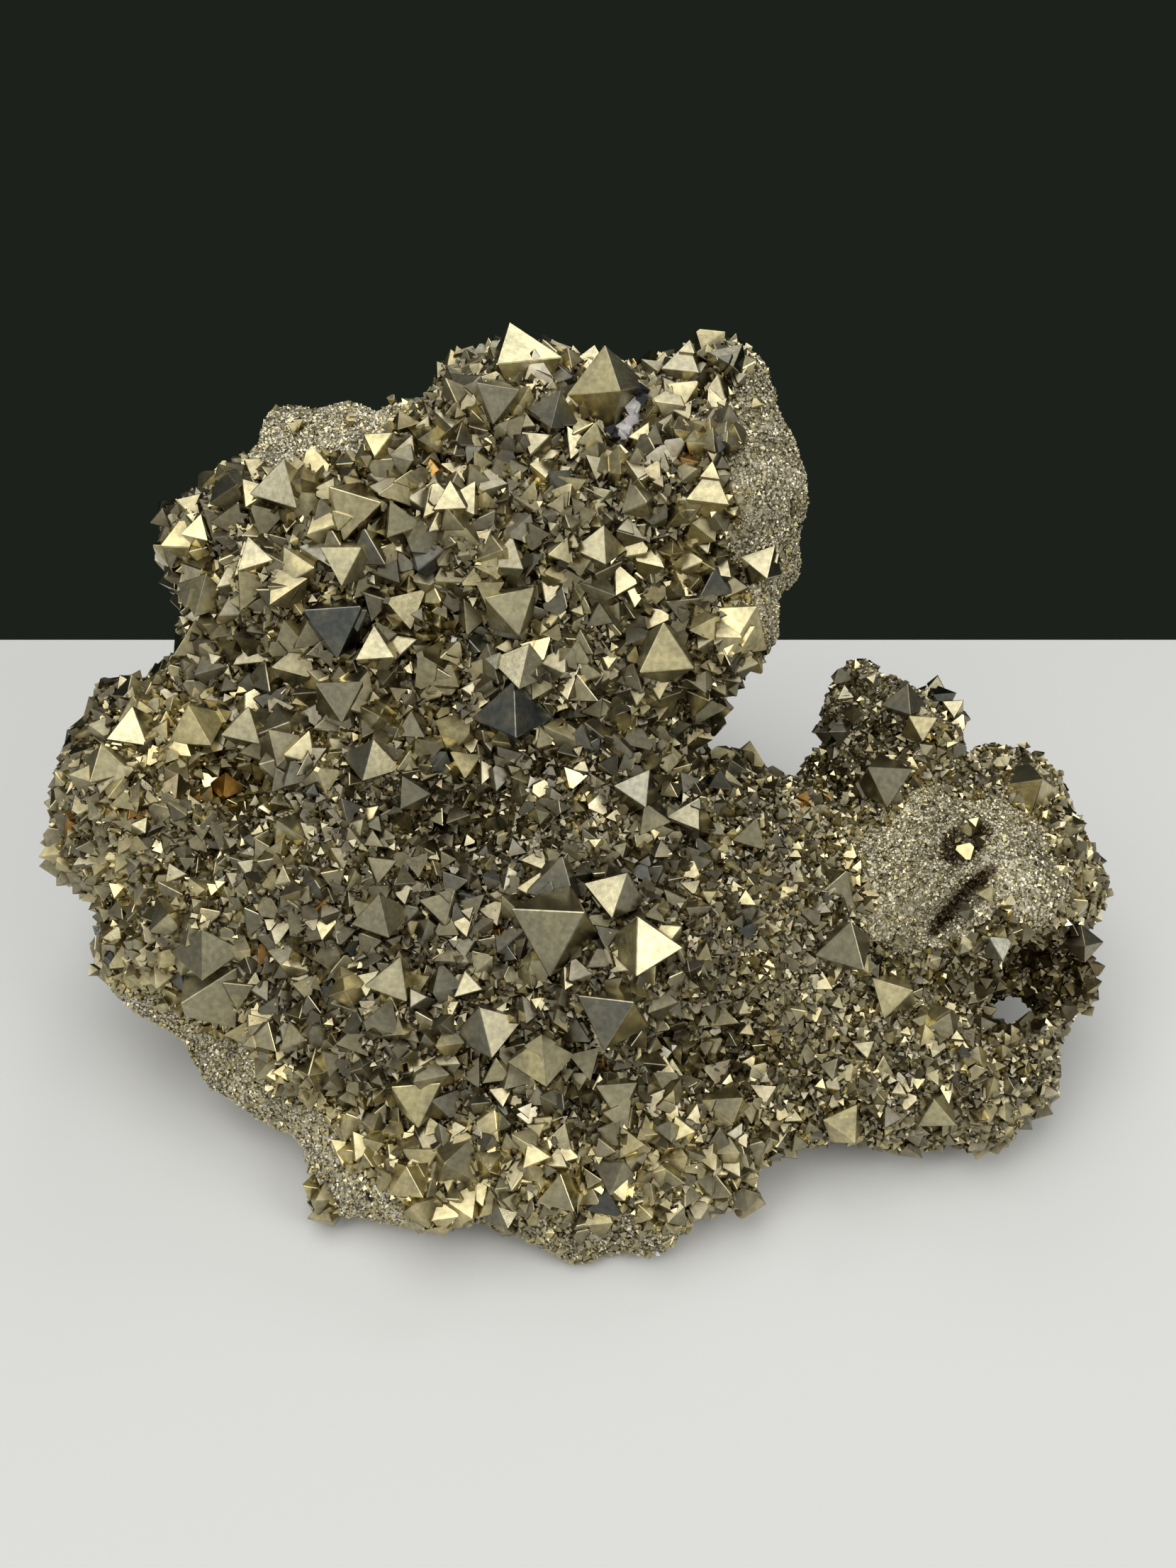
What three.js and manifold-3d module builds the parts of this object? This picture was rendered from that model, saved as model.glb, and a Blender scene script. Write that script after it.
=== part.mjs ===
// Pyrite cluster: one intergrown mass of rounded lumps with octahedral crystals standing on it.
// Units are millimetres, +Z is up and -Y faces the viewer. The mass rests on the flat cut at z = 0.
import * as THREE from "three";
import { mergeVertices } from "three/addons/utils/BufferGeometryUtils.js";
import Module from "manifold-3d";

const wasm = await Module();
wasm.setup();

const radians = THREE.MathUtils.degToRad;

// Where the photograph was taken from: a phone's wide lens, looking down at the cluster.
// focal and centre are in pixels of the 1659 x 2212 photograph.
const viewpoint = { at: [0, -289, 311], pitch: 40, focal: 1661, centre: [829.5, 1106] };

// The mass grew as four bodies that run into each other. Each one is a group of rounded lumps, given by
// centre, radii and turns about X, Y and Z in degrees. Its surface is measured outwards from middle:
// spread sets how the measured directions crowd towards its long ends, and detail how many there are.
const bodies = [
  {
    name: "head",
    middle: [-30, 58, 112],
    spread: [1.2, 0.8, 1],
    detail: 6,
    lumps: [
      { name: "headCore", at: [-34, 48, 120], radii: [86, 48, 57], tilt: [-12, 0, 0] },
      { name: "headLeft", at: [-90, 44, 116], radii: [48, 42, 45], tilt: [0, 0, 0] },
      { name: "headRight", at: [26, 52, 131], radii: [48, 42, 52], tilt: [0, 0, 0] },
      { name: "headTop", at: [-14, 74, 145], radii: [46, 32, 38], tilt: [0, 4, 0] },
      { name: "headCorner", at: [38, 68, 149], radii: [31, 30, 32], tilt: [0, 0, 0] },
      { name: "headBackLeft", at: [-78, 80, 123], radii: [43, 33, 35], tilt: [0, 0, 0] },
      { name: "headBack", at: [-18, 86, 78], radii: [80, 34, 76], tilt: [0, 0, 0] },
      { name: "headChin", at: [-44, 16, 95], radii: [82, 33, 38], tilt: [0, 0, 0] },
      { name: "headShelf", at: [19, 32, 113], radii: [38, 30, 24], tilt: [0, -10, 0] },
      { name: "neck", at: [-46, 34, 50], radii: [88, 58, 62], tilt: [0, 0, 0] },
    ],
  },
  {
    name: "slab",
    middle: [-30, -22, 24],
    spread: [1.5, 1.2, 0.8],
    detail: 7,
    lumps: [
      { name: "throat", at: [-34, -10, 76], radii: [72, 30, 30], tilt: [0, 0, 0] },
      { name: "leftLobe", at: [-122, -8, 63], radii: [46, 41, 42], tilt: [0, 0, 0] },
      { name: "leftBridge", at: [-102, 8, 80], radii: [47, 38, 35], tilt: [0, 0, 0] },
      { name: "leftFill", at: [-82, -24, 62], radii: [48, 42, 34], tilt: [12, 0, 0] },
      { name: "leftFoot", at: [-99, -36, 40], radii: [45, 43, 42], tilt: [10, 0, 0] },
      { name: "slab", at: [-34, -34, 44], radii: [94, 76, 38], tilt: [24, 0, 0] },
      { name: "slabRidge", at: [-2, -40, 54], radii: [54, 48, 29], tilt: [22, 0, 0] },
      { name: "apron", at: [-68, -69, 18], radii: [57, 36, 24], tilt: [18, 0, -24] },
      { name: "tongue", at: [-20, -93, 15], radii: [58, 33, 20], tilt: [10, 0, 3] },
      { name: "tongueTip", at: [20, -97, 14], radii: [41, 31, 19], tilt: [12, 0, 12] },
      { name: "arm", at: [48, -30, 43], radii: [66, 52, 31], tilt: [20, 0, 0] },
      { name: "foot", at: [-30, -16, 20], radii: [100, 76, 34], tilt: [0, 0, 0] },
    ],
  },
  {
    name: "block",
    middle: [106, -34, 32],
    spread: [1.1, 1, 0.9],
    detail: 4,
    lumps: [
      { name: "armFront", at: [91, -70, 19], radii: [63, 31, 21], tilt: [10, 0, 2] },
      { name: "blockCore", at: [112, -30, 42], radii: [51, 43, 38], tilt: [0, 0, 0] },
      { name: "blockBack", at: [133, -1, 51], radii: [30, 26, 27], tilt: [0, 0, 0] },
    ],
  },
  {
    name: "knob",
    middle: [99, 15, 68],
    spread: [1, 1, 1],
    detail: 4,
    lumps: [
      { name: "knobLeft", at: [82, 19, 92], radii: [18, 15, 18], tilt: [0, 0, 0] },
      { name: "knobRight", at: [110, 16, 86], radii: [16, 15, 16], tilt: [0, 0, 0] },
      { name: "knobFoot", at: [95, 10, 66], radii: [27, 18, 22], tilt: [0, 0, 0] },
    ],
  },
];

// Moves the finished mass so that its bounding box stands centred over the origin.
const toMiddle = [0.5, 3.5, 0];

// How softly the lumps of a body run together, and how much their surface is drawn in to allow for it.
const blend = { softness: 4, drawnIn: 1.5 };

// Hollows that reach into the mass, rounded like the lumps.
const hollows = [
  { name: "cave", at: [133, -62, 49], radii: [17, 20, 12.5], tilt: [-45, 0, -22] },
  { name: "caveDrain", at: [126, -62, 32], radii: [8, 42, 7], tilt: [-51, 0, -21] },
  { name: "topPocket", at: [110, -37, 80], radii: [8, 5, 6], tilt: [0, 0, 50] },
  { name: "topGroove", at: [105, -57, 71], radii: [3, 12, 4], tilt: [40, 0, -42] },
  { name: "knobNotch", at: [98, 22, 100], radii: [5, 26, 13], tilt: [0, 0, 0] },
  { name: "knobPit", at: [91, 3, 84], radii: [9, 7, 6], tilt: [0, 0, 0] },
  { name: "throatPit", at: [-36, -34, 84], radii: [16, 12, 12], tilt: [0, 0, 0] },
  { name: "leftPit", at: [-104, -26, 92], radii: [13, 9, 9], tilt: [0, 0, 0] },
  { name: "leftUndercut", at: [-146, -60, 0], radii: [62, 32, 22], tilt: [0, 0, -36] },
  { name: "frontUndercut", at: [104, -102, -3], radii: [62, 24, 12], tilt: [0, 0, 6] },
  { name: "rightUndercut", at: [158, -34, -3], radii: [36, 24, 13], tilt: [0, 0, 0] },
];

// Flat broken faces, where the mass was split off its vein: a block cut away, by centre, size and turns.
const breaks = [
  { name: "headRightFace", at: [92, 60, 150], size: [60, 160, 130], tilt: [0, -8, 12] },
  { name: "headBackFace", at: [-20, 160, 100], size: [260, 80, 240], tilt: [6, 0, -4] },
];

// The unevenness of the surface, as a sum of waves: wave length, height and direction.
const swells = [
  { length: 58, height: 2.4, along: [1, 0.4, -0.3] },
  { length: 41, height: 2.4, along: [-0.3, 1, 0.6] },
  { length: 29, height: 2, along: [0.5, -0.7, 1] },
  { length: 23, height: 1.6, along: [0.9, 0.8, 0.2] },
];

const solidOf = (geometry) => {
  for (const name of ["normal", "uv"]) geometry.deleteAttribute(name);
  const merged = mergeVertices(geometry, 1e-3);
  return new wasm.Manifold(
    new wasm.Mesh({
      numProp: 3,
      vertProperties: merged.attributes.position.array,
      triVerts: new Uint32Array(merged.index.array),
    }),
  );
};

const geometryOf = (solid) => {
  const mesh = solid.getMesh();
  const geometry = new THREE.BufferGeometry();
  geometry.setAttribute("position", new THREE.BufferAttribute(mesh.vertProperties, 3));
  geometry.setIndex(new THREE.BufferAttribute(mesh.triVerts, 1));
  return geometry;
};

const turnOf = (tilt) => new THREE.Quaternion().setFromEuler(new THREE.Euler(...tilt.map(radians)));

const swellAt = (point) =>
  swells.reduce((sum, { length, height, along }) => {
    const way = new THREE.Vector3(...along).normalize();
    return sum + height * Math.sin((2 * Math.PI * point.dot(way)) / length);
  }, 0);

// How far a point lies outside (above 0) or inside (below 0) a rounded form, in mean radii.
const outsideRound = ({ at, radii, tilt }, point) => {
  const local = point.clone().sub(new THREE.Vector3(...at)).applyQuaternion(turnOf(tilt).invert());
  const mean = (radii[0] + radii[1] + radii[2]) / 3;
  return (local.divide(new THREE.Vector3(...radii)).length() - 1) * mean;
};

const outsideBlock = ({ at, size, tilt }, point) => {
  const local = point.clone().sub(new THREE.Vector3(...at)).applyQuaternion(turnOf(tilt).invert());
  return Math.max(...local.toArray().map((value, axis) => Math.abs(value) - size[axis] / 2));
};

const clearOfBreaks = (point) => Math.min(...breaks.map((block) => outsideBlock(block, point)));

// Depth below the surface of one body, in millimetres; below 0 the point is outside.
const depthInBody = (body, point) => {
  const { softness, drawnIn } = blend;
  const pull = body.lumps.reduce((sum, lump) => sum + Math.exp(-outsideRound(lump, point) / softness), 0);
  return Math.min(softness * Math.log(pull) - drawnIn + swellAt(point), clearOfBreaks(point));
};

// The same for the whole mass.
const depthAt = (point) => {
  const inBodies = Math.max(...bodies.map((body) => depthInBody(body, point)));
  return Math.min(inBodies, ...hollows.map((hollow) => outsideRound(hollow, point)));
};

const outwardAt = (point) => {
  const step = 1.5;
  const slope = [0, 1, 2].map((axis) => {
    const ahead = point.clone().setComponent(axis, point.getComponent(axis) + step);
    const behind = point.clone().setComponent(axis, point.getComponent(axis) - step);
    return depthAt(behind) - depthAt(ahead);
  });
  return new THREE.Vector3(...slope).normalize();
};

// The viewer's right, up and towards directions.
const pitch = radians(viewpoint.pitch);
const eye = new THREE.Vector3(...viewpoint.at);
const viewRight = new THREE.Vector3(1, 0, 0);
const viewUp = new THREE.Vector3(0, Math.sin(pitch), Math.cos(pitch));
const viewTowards = new THREE.Vector3(0, -Math.cos(pitch), Math.sin(pitch));

// The point of the mass that a pixel of the photograph shows.
const surfaceUnder = ([across, down]) => {
  const ray = viewTowards
    .clone()
    .negate()
    .addScaledVector(viewRight, (across - viewpoint.centre[0]) / viewpoint.focal)
    .addScaledVector(viewUp, (viewpoint.centre[1] - down) / viewpoint.focal);
  const nearest = 200;
  const furthest = 560;
  const stride = 1;
  for (let reach = nearest; reach < furthest; reach += stride) {
    const point = eye.clone().addScaledVector(ray, reach);
    if (depthAt(point) > 0) return point;
  }
  return null;
};

// The crystals that stand out in the photograph. pixel is the crystal's middle, edge its edge in
// millimetres, apex the way one corner points (right, up and towards the viewer), spin the turn
// about that corner: at 0 an edge faces the viewer, at 45 a face. proud lifts it off the surface.
const landmarks = [
  { pixel: [735, 505], edge: 22, apex: [-0.2, 1, 0.1], spin: -25, proud: -3 },
  { pixel: [866, 560], edge: 19, apex: [-0.1, 1, 0.35], spin: 12, proud: 5 },
  { pixel: [842, 510], edge: 13, apex: [0.1, 1, 0], spin: 30, proud: -3 },
  { pixel: [700, 572], edge: 13, apex: [-0.1, -1, 0.5], spin: 40, proud: 2 },
  { pixel: [780, 590], edge: 12, apex: [0.3, 0.8, 0.6], spin: 10, proud: 2 },
  { pixel: [640, 545], edge: 11, apex: [-0.4, 1, 0.3], spin: 5, proud: -1 },
  { pixel: [965, 520], edge: 12, apex: [0.1, 1, 0.4], spin: 30, proud: 0 },
  { pixel: [1030, 510], edge: 11, apex: [0.6, 0.9, 0.3], spin: 15, proud: -2 },
  { pixel: [400, 690], edge: 15, apex: [0.2, 0.8, 0.8], spin: 40, proud: 2 },
  { pixel: [500, 722], edge: 16, apex: [-0.6, 0.5, 0.8], spin: 35, proud: 3 },
  { pixel: [562, 745], edge: 12, apex: [-0.2, 0.9, 0.5], spin: -20, proud: 2 },
  { pixel: [330, 690], edge: 13, apex: [-0.5, 0.9, 0.2], spin: 15, proud: 1 },
  { pixel: [292, 838], edge: 14, apex: [0.3, 0.6, 1], spin: 10, proud: 2 },
  { pixel: [286, 752], edge: 9, apex: [0.2, 1, 0.6], spin: 40, proud: 2 },
  { pixel: [362, 790], edge: 11, apex: [-0.3, 1, 0.5], spin: 45, proud: 1 },
  { pixel: [492, 792], edge: 13, apex: [-0.9, 0.4, 0.5], spin: 30, proud: 2 },
  { pixel: [475, 882], edge: 17, apex: [0.1, -1, 0.5], spin: 42, proud: 4 },
  { pixel: [535, 920], edge: 12, apex: [-0.1, 1, 0.5], spin: 40, proud: 3 },
  { pixel: [722, 858], edge: 15, apex: [0.3, -1, 0.6], spin: 38, proud: 3 },
  { pixel: [722, 795], edge: 12, apex: [0, 1, 0.4], spin: 25, proud: 3 },
  { pixel: [640, 712], edge: 10, apex: [-0.1, 1, 0.6], spin: 35, proud: 2 },
  { pixel: [845, 775], edge: 12, apex: [0.2, 1, 0.9], spin: 20, proud: 2 },
  { pixel: [740, 940], edge: 14, apex: [0.3, 0.7, 0.8], spin: 15, proud: 3 },
  { pixel: [722, 1022], edge: 18, apex: [0.05, 1, 0.6], spin: 8, proud: 5 },
  { pixel: [930, 925], edge: 17, apex: [-0.7, -0.6, 0.7], spin: 35, proud: 4 },
  { pixel: [1045, 885], edge: 18, apex: [0.5, 0.5, 0.8], spin: 20, proud: 0 },
  { pixel: [1075, 800], edge: 11, apex: [0.5, 0.8, 0.6], spin: 25, proud: 1 },
  { pixel: [1000, 700], edge: 13, apex: [0.1, 1, 0.6], spin: 40, proud: 1 },
  { pixel: [995, 880], edge: 9, apex: [0.4, 0.2, 1], spin: 0, proud: 2 },
  { pixel: [280, 1035], edge: 14, apex: [-0.1, 0.8, 0.9], spin: 30, proud: 4 },
  { pixel: [350, 1030], edge: 12, apex: [0.2, 0.9, 0.6], spin: 45, proud: 2 },
  { pixel: [190, 1030], edge: 13, apex: [0.1, 1, 0.7], spin: 40, proud: 1 },
  { pixel: [480, 985], edge: 14, apex: [0.2, -0.9, 0.7], spin: 30, proud: 2 },
  { pixel: [524, 1075], edge: 13, apex: [0.2, 0.8, 0.7], spin: 0, proud: 2 },
  { pixel: [582, 1030], edge: 9, apex: [0, 1, 0.7], spin: 40, proud: 2 },
  { pixel: [580, 1120], edge: 10, apex: [-0.4, -0.8, 0.8], spin: 35, proud: 1 },
  { pixel: [150, 1080], edge: 12, apex: [-0.3, -0.6, 0.9], spin: 20, proud: 1 },
  { pixel: [895, 1122], edge: 12, apex: [0.3, -0.6, 0.9], spin: 42, proud: 4 },
  { pixel: [972, 1165], edge: 12, apex: [0.2, -0.2, 1], spin: 30, proud: 3 },
  { pixel: [918, 1152], edge: 10, apex: [-0.3, 0.7, 0.8], spin: 45, proud: 1 },
  { pixel: [790, 1312], edge: 22, apex: [0.5, 0.35, 0.8], spin: 38, proud: 5 },
  { pixel: [905, 1335], edge: 17, apex: [-0.2, -0.7, 0.9], spin: 20, proud: 3 },
  { pixel: [785, 1248], edge: 15, apex: [0.2, 0.9, 0.6], spin: 42, proud: 3 },
  { pixel: [868, 1262], edge: 14, apex: [0.4, 0.8, 0.7], spin: 10, proud: 2 },
  { pixel: [540, 1292], edge: 13, apex: [0, 0.9, 0.7], spin: 20, proud: 3 },
  { pixel: [622, 1280], edge: 11, apex: [0.3, -0.7, 0.8], spin: 35, proud: 2 },
  { pixel: [408, 1172], edge: 12, apex: [-0.3, 0.5, 1], spin: 30, proud: 1 },
  { pixel: [296, 1402], edge: 19, apex: [-0.4, -0.1, 1], spin: 25, proud: 1 },
  { pixel: [290, 1345], edge: 15, apex: [0.1, 0.8, 0.8], spin: 10, proud: 0 },
  { pixel: [497, 1396], edge: 9, apex: [0, 0.1, 1], spin: 20, proud: 3 },
  { pixel: [380, 1462], edge: 9, apex: [0.2, 1, 0.7], spin: 40, proud: 2 },
  { pixel: [555, 1385], edge: 13, apex: [0.6, -0.5, 0.8], spin: 30, proud: 1 },
  { pixel: [688, 1450], edge: 15, apex: [-0.2, 0.8, 0.8], spin: 0, proud: 2 },
  { pixel: [762, 1490], edge: 14, apex: [0.1, 0.9, 0.8], spin: 15, proud: 4 },
  { pixel: [865, 1425], edge: 17, apex: [0.5, 0.4, 0.9], spin: 30, proud: 3 },
  { pixel: [590, 1545], edge: 14, apex: [0.1, -0.9, 0.7], spin: 40, proud: 2 },
  { pixel: [577, 1665], edge: 10, apex: [0, 1, 0.9], spin: 40, proud: 2 },
  { pixel: [640, 1640], edge: 13, apex: [-0.2, 0.3, 1], spin: 20, proud: 1 },
  { pixel: [790, 1678], edge: 11, apex: [0, 1, 0.7], spin: 30, proud: 3 },
  { pixel: [870, 1545], edge: 12, apex: [0.1, -0.8, 0.9], spin: 40, proud: 1 },
  { pixel: [1030, 1560], edge: 12, apex: [0.4, 0.6, 0.9], spin: 20, proud: 1 },
  { pixel: [1245, 1098], edge: 14, apex: [0, -1, 0.6], spin: 40, proud: 5 },
  { pixel: [1188, 1030], edge: 12, apex: [-1, 0, 0.3], spin: 0, proud: 3 },
  { pixel: [1328, 988], edge: 9, apex: [0.1, -1, 0.5], spin: 42, proud: 1 },
  { pixel: [1296, 1026], edge: 10, apex: [0, -1, 0.9], spin: 40, proud: 2 },
  { pixel: [1192, 978], edge: 9, apex: [-0.2, 1, 0.4], spin: 30, proud: -1 },
  { pixel: [1452, 1112], edge: 15, apex: [0.1, 0.3, 1], spin: 15, proud: 0 },
  { pixel: [1526, 1330], edge: 13, apex: [1, 0.1, 0.3], spin: 0, proud: 2 },
  { pixel: [1187, 1580], edge: 11, apex: [0.3, -0.6, 1], spin: 42, proud: 3 },
  { pixel: [1190, 1335], edge: 15, apex: [0.1, 0.9, 0.7], spin: 30, proud: 2 },
  { pixel: [1185, 1250], edge: 14, apex: [0.2, 0.8, 0.9], spin: 42, proud: 0 },
  { pixel: [1262, 1402], edge: 13, apex: [0.4, 0.3, 1], spin: 20, proud: 2 },
  { pixel: [1330, 1442], edge: 10, apex: [0.1, 0.7, 1], spin: 30, proud: 1 },
  { pixel: [1318, 1562], edge: 11, apex: [-0.3, 0.6, 0.9], spin: 20, proud: 2 },
  { pixel: [1060, 1180], edge: 10, apex: [0.2, 1, 0.6], spin: 35, proud: 1 },
];

// The rest of the larger crystals: how many are tried for, their edges, and the room each one keeps.
const scatter = { tries: 5200, most: 145, edge: [8, 12.5], room: 1.25, seed: 4127 };

// Places where the surface is a fine sugary crust without larger crystals: centre and reach.
const sugary = [
  { name: "blockTop", at: [104, -26, 76], reach: 30 },
  { name: "blockTopRight", at: [132, -32, 68], reach: 22 },
  { name: "headRightFace", at: [70, 55, 140], reach: 40 },
  { name: "headTopLeft", at: [-88, 96, 148], reach: 34 },
  { name: "apronEdge", at: [-84, -92, 12], reach: 26 },
  { name: "leftFootEdge", at: [-124, -62, 14], reach: 26 },
  { name: "blockRightSide", at: [166, -36, 40], reach: 24 },
  { name: "blockBackEnd", at: [164, -8, 58], reach: 24 },
  { name: "knobLeft", at: [86, 19, 88], reach: 17 },
  { name: "knobRight", at: [114, 15, 81], reach: 15 },
  { name: "headFarLeft", at: [-160, -12, 76], reach: 36 },
  { name: "headTopRim", at: [-16, 82, 183], reach: 12 },
  { name: "headTopRimRight", at: [22, 80, 178], reach: 12 },
  { name: "underOverhang", at: [49, 78, 40], reach: 12 },
  { name: "caveRim", at: [136, -60, 45], reach: 25 },
  { name: "caveRight", at: [150, -58, 42], reach: 18 },
  { name: "blockEnd", at: [158, -24, 62], reach: 18 },
  { name: "apronLeft", at: [-108, -85, 22], reach: 14 },
  { name: "headLeftTop", at: [-130, 45, 138], reach: 14 },
  { name: "headLeftEdge", at: [-87, 59, 166], reach: 10 },
  { name: "overhangRim", at: [50, 28, 94], reach: 14 },
  { name: "tongueEdgeLeft", at: [-50, -122, 16], reach: 20 },
  { name: "tongueEdge", at: [-8, -126, 14], reach: 20 },
  { name: "tongueEdgeRight", at: [32, -121, 14], reach: 20 },
  { name: "frontEdge", at: [107, -97, 12], reach: 12 },
  { name: "frontCorner", at: [139, -84, 20], reach: 16 },
  { name: "rightFoot", at: [149, -58, 16], reach: 14 },
  { name: "knobFront", at: [78, 8, 66], reach: 12 },
  { name: "headLeftLow", at: [-139, 33, 128], reach: 17 },
  { name: "headLeftMiddle", at: [-142, 38, 116], reach: 14 },
  { name: "headLeftFoot", at: [-139, 31, 100], reach: 12 },
  { name: "knobTop", at: [76, 23, 100], reach: 12 },
  { name: "headLeftUpper", at: [-121, 36, 150], reach: 12 },
  { name: "blockBackRim", at: [132, 13, 75], reach: 10 },
  { name: "knobLeftSide", at: [70, 16, 90], reach: 15 },
  { name: "headTopCorner", at: [55, 76, 176], reach: 10 },
];

// Numbers from 0 to 1 that come out the same on every run.
const randomFrom = (seed) => {
  const modulus = 2147483647;
  const multiplier = 16807;
  let state = seed;
  return () => {
    state = (state * multiplier) % modulus;
    return state / modulus;
  };
};

const middle = (low, high, share) => low + (high - low) * share;

// An octahedron with the given edge: the corner at local +Z points along apex.
const crystalSolid = ({ centre, edge, apex, facing, spin }) => {
  const across = new THREE.Vector3().crossVectors(apex, facing).normalize();
  const front = new THREE.Vector3().crossVectors(across, apex);
  const turn = new THREE.Matrix4().makeBasis(front, across, apex);
  const geometry = new THREE.OctahedronGeometry(edge / Math.SQRT2);
  geometry.rotateZ(radians(spin));
  geometry.applyMatrix4(turn);
  geometry.translate(centre.x, centre.y, centre.z);
  return solidOf(geometry);
};

const landmarkCrystals = () =>
  landmarks.flatMap(({ pixel, edge, apex, spin, proud }) => {
    const point = surfaceUnder(pixel);
    if (!point) return [];
    const direction = viewRight
      .clone()
      .multiplyScalar(apex[0])
      .addScaledVector(viewUp, apex[1])
      .addScaledVector(viewTowards, apex[2])
      .normalize();
    const centre = point.clone().addScaledVector(outwardAt(point), proud);
    return [{ centre, edge, apex: direction, facing: viewTowards, spin }];
  });

const scatteredCrystals = (taken) => {
  const random = randomFrom(scatter.seed);
  const lumps = bodies.flatMap((body) => body.lumps);
  const areas = lumps.map(({ radii }) => radii[0] * radii[1] + radii[1] * radii[2] + radii[0] * radii[2]);
  const wholeArea = areas.reduce((sum, area) => sum + area, 0);
  const all = [...taken];
  for (let tried = 0; tried < scatter.tries && all.length - taken.length < scatter.most; tried += 1) {
    let pick = random() * wholeArea;
    const lump = lumps[areas.findIndex((area) => (pick -= area) < 0)];
    const height = random() * 2 - 1;
    const round = random() * 2 * Math.PI;
    const flat = Math.sqrt(1 - height * height);
    const edge = middle(...scatter.edge, random() ** 2);
    const lean = [random() - 0.5, random() - 0.5, random() - 0.5];
    const spin = random() * 90;
    const point = new THREE.Vector3(flat * Math.cos(round), flat * Math.sin(round), height)
      .multiply(new THREE.Vector3(...lump.radii))
      .applyQuaternion(turnOf(lump.tilt))
      .add(new THREE.Vector3(...lump.at));
    const depth = depthAt(point);
    if (depth > 3 || depth < -4 || point.z < 12) continue;
    const outward = outwardAt(point);
    if (outward.y > 0.35) continue;
    if (sugary.some(({ at, reach }) => point.distanceTo(new THREE.Vector3(...at)) < reach)) continue;
    const crowds = (other) => other.centre.distanceTo(point) < (other.edge + edge) * 0.5 * scatter.room;
    if (all.some(crowds)) continue;
    const apex = outward.clone().addScaledVector(new THREE.Vector3(...lean), 1.3).normalize();
    const facing = new THREE.Vector3(0.3, -0.8, 0.5);
    const centre = point.clone().addScaledVector(outward, depth + edge * 0.08);
    all.push({ centre, edge, apex, facing, spin });
  }
  return all.slice(taken.length);
};

// A body's solid: directions spread evenly about its middle, each followed out to the surface.
const bodySolid = (body) => {
  const geometry = new THREE.IcosahedronGeometry(1, body.detail);
  const place = geometry.attributes.position;
  const middleOfBody = new THREE.Vector3(...body.middle);
  const stride = 1.5;
  for (let i = 0; i < place.count; i += 1) {
    const way = new THREE.Vector3().fromBufferAttribute(place, i);
    way.multiply(new THREE.Vector3(...body.spread)).normalize();
    const point = middleOfBody.clone();
    while (depthInBody(body, point) > 0) point.addScaledVector(way, stride);
    place.setXYZ(i, ...point.toArray());
  }
  return solidOf(geometry);
};

const roundSolid = ({ at, radii, tilt }) => {
  const geometry = new THREE.IcosahedronGeometry(1, 1);
  geometry.scale(...radii);
  geometry.applyQuaternion(turnOf(tilt));
  geometry.translate(...at);
  return solidOf(geometry);
};

const blockSolid = ({ at, size, tilt }) => {
  const geometry = new THREE.BoxGeometry(...size);
  geometry.applyQuaternion(turnOf(tilt));
  geometry.translate(...at);
  return solidOf(geometry);
};

const joined = (solids) => solids.reduce((whole, solid) => whole.add(solid));

const massSolid = () => {
  const body = joined(bodies.map(bodySolid));
  const gaps = joined(hollows.map(roundSolid));
  const marked = landmarkCrystals();
  const crystals = joined([...marked, ...scatteredCrystals(marked)].map(crystalSolid));
  const below = blockSolid({ at: [0, 0, -100], size: [600, 600, 200], tilt: [0, 0, 0] });
  const pieces = body.subtract(gaps).add(crystals).subtract(below).decompose();
  return pieces.reduce((largest, piece) => (piece.volume() > largest.volume() ? piece : largest));
};

const pyrite = new THREE.MeshStandardMaterial({
  color: 0x9c8f63,
  roughness: 0.38,
  metalness: 0.9,
  flatShading: true,
});

const geometry = geometryOf(massSolid());
geometry.translate(...toMiddle);
const cluster = new THREE.Mesh(geometry, pyrite);
cluster.name = "pyrite_cluster";

const part = new THREE.Group();
part.add(cluster);

export default part;
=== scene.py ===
# Pyrite cluster: the looks of the crystal mass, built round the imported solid.
import math
import bmesh
import bpy
import numpy as np
from mathutils import Euler, Matrix, Vector, kdtree, noise


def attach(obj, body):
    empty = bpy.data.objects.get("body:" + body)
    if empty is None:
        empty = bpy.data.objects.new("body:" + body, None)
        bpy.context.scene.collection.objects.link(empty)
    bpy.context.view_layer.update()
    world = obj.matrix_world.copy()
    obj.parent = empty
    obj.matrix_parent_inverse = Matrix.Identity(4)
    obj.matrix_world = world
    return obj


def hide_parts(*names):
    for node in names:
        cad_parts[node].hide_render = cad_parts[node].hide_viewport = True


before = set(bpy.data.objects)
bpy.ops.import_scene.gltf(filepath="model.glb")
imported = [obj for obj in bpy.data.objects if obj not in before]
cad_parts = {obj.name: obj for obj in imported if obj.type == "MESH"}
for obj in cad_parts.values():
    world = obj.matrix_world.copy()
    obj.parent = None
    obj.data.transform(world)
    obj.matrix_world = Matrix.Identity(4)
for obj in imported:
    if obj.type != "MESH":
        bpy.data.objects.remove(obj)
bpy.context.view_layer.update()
mm = 0.001

# Where the photograph was taken from, in millimetres; focal, centre and longSide are in its pixels
# (1659 x 2212). The surface is looked for from the first distance in within to the second, by its step.
viewpoint = {
    "at": (0, -289, 311), "pitch": 40, "focal": 1661, "centre": (829.5, 1106), "longSide": 2212,
    "sensor": 36, "nearest": 20, "within": (200, 560, 1.0),
}
toMiddle = np.array((0.5, 3.5, 0.0))  # the same shift as in the solid
blend = {"softness": 4, "drawnIn": 1.5, "slopeStep": 1.5}

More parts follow.
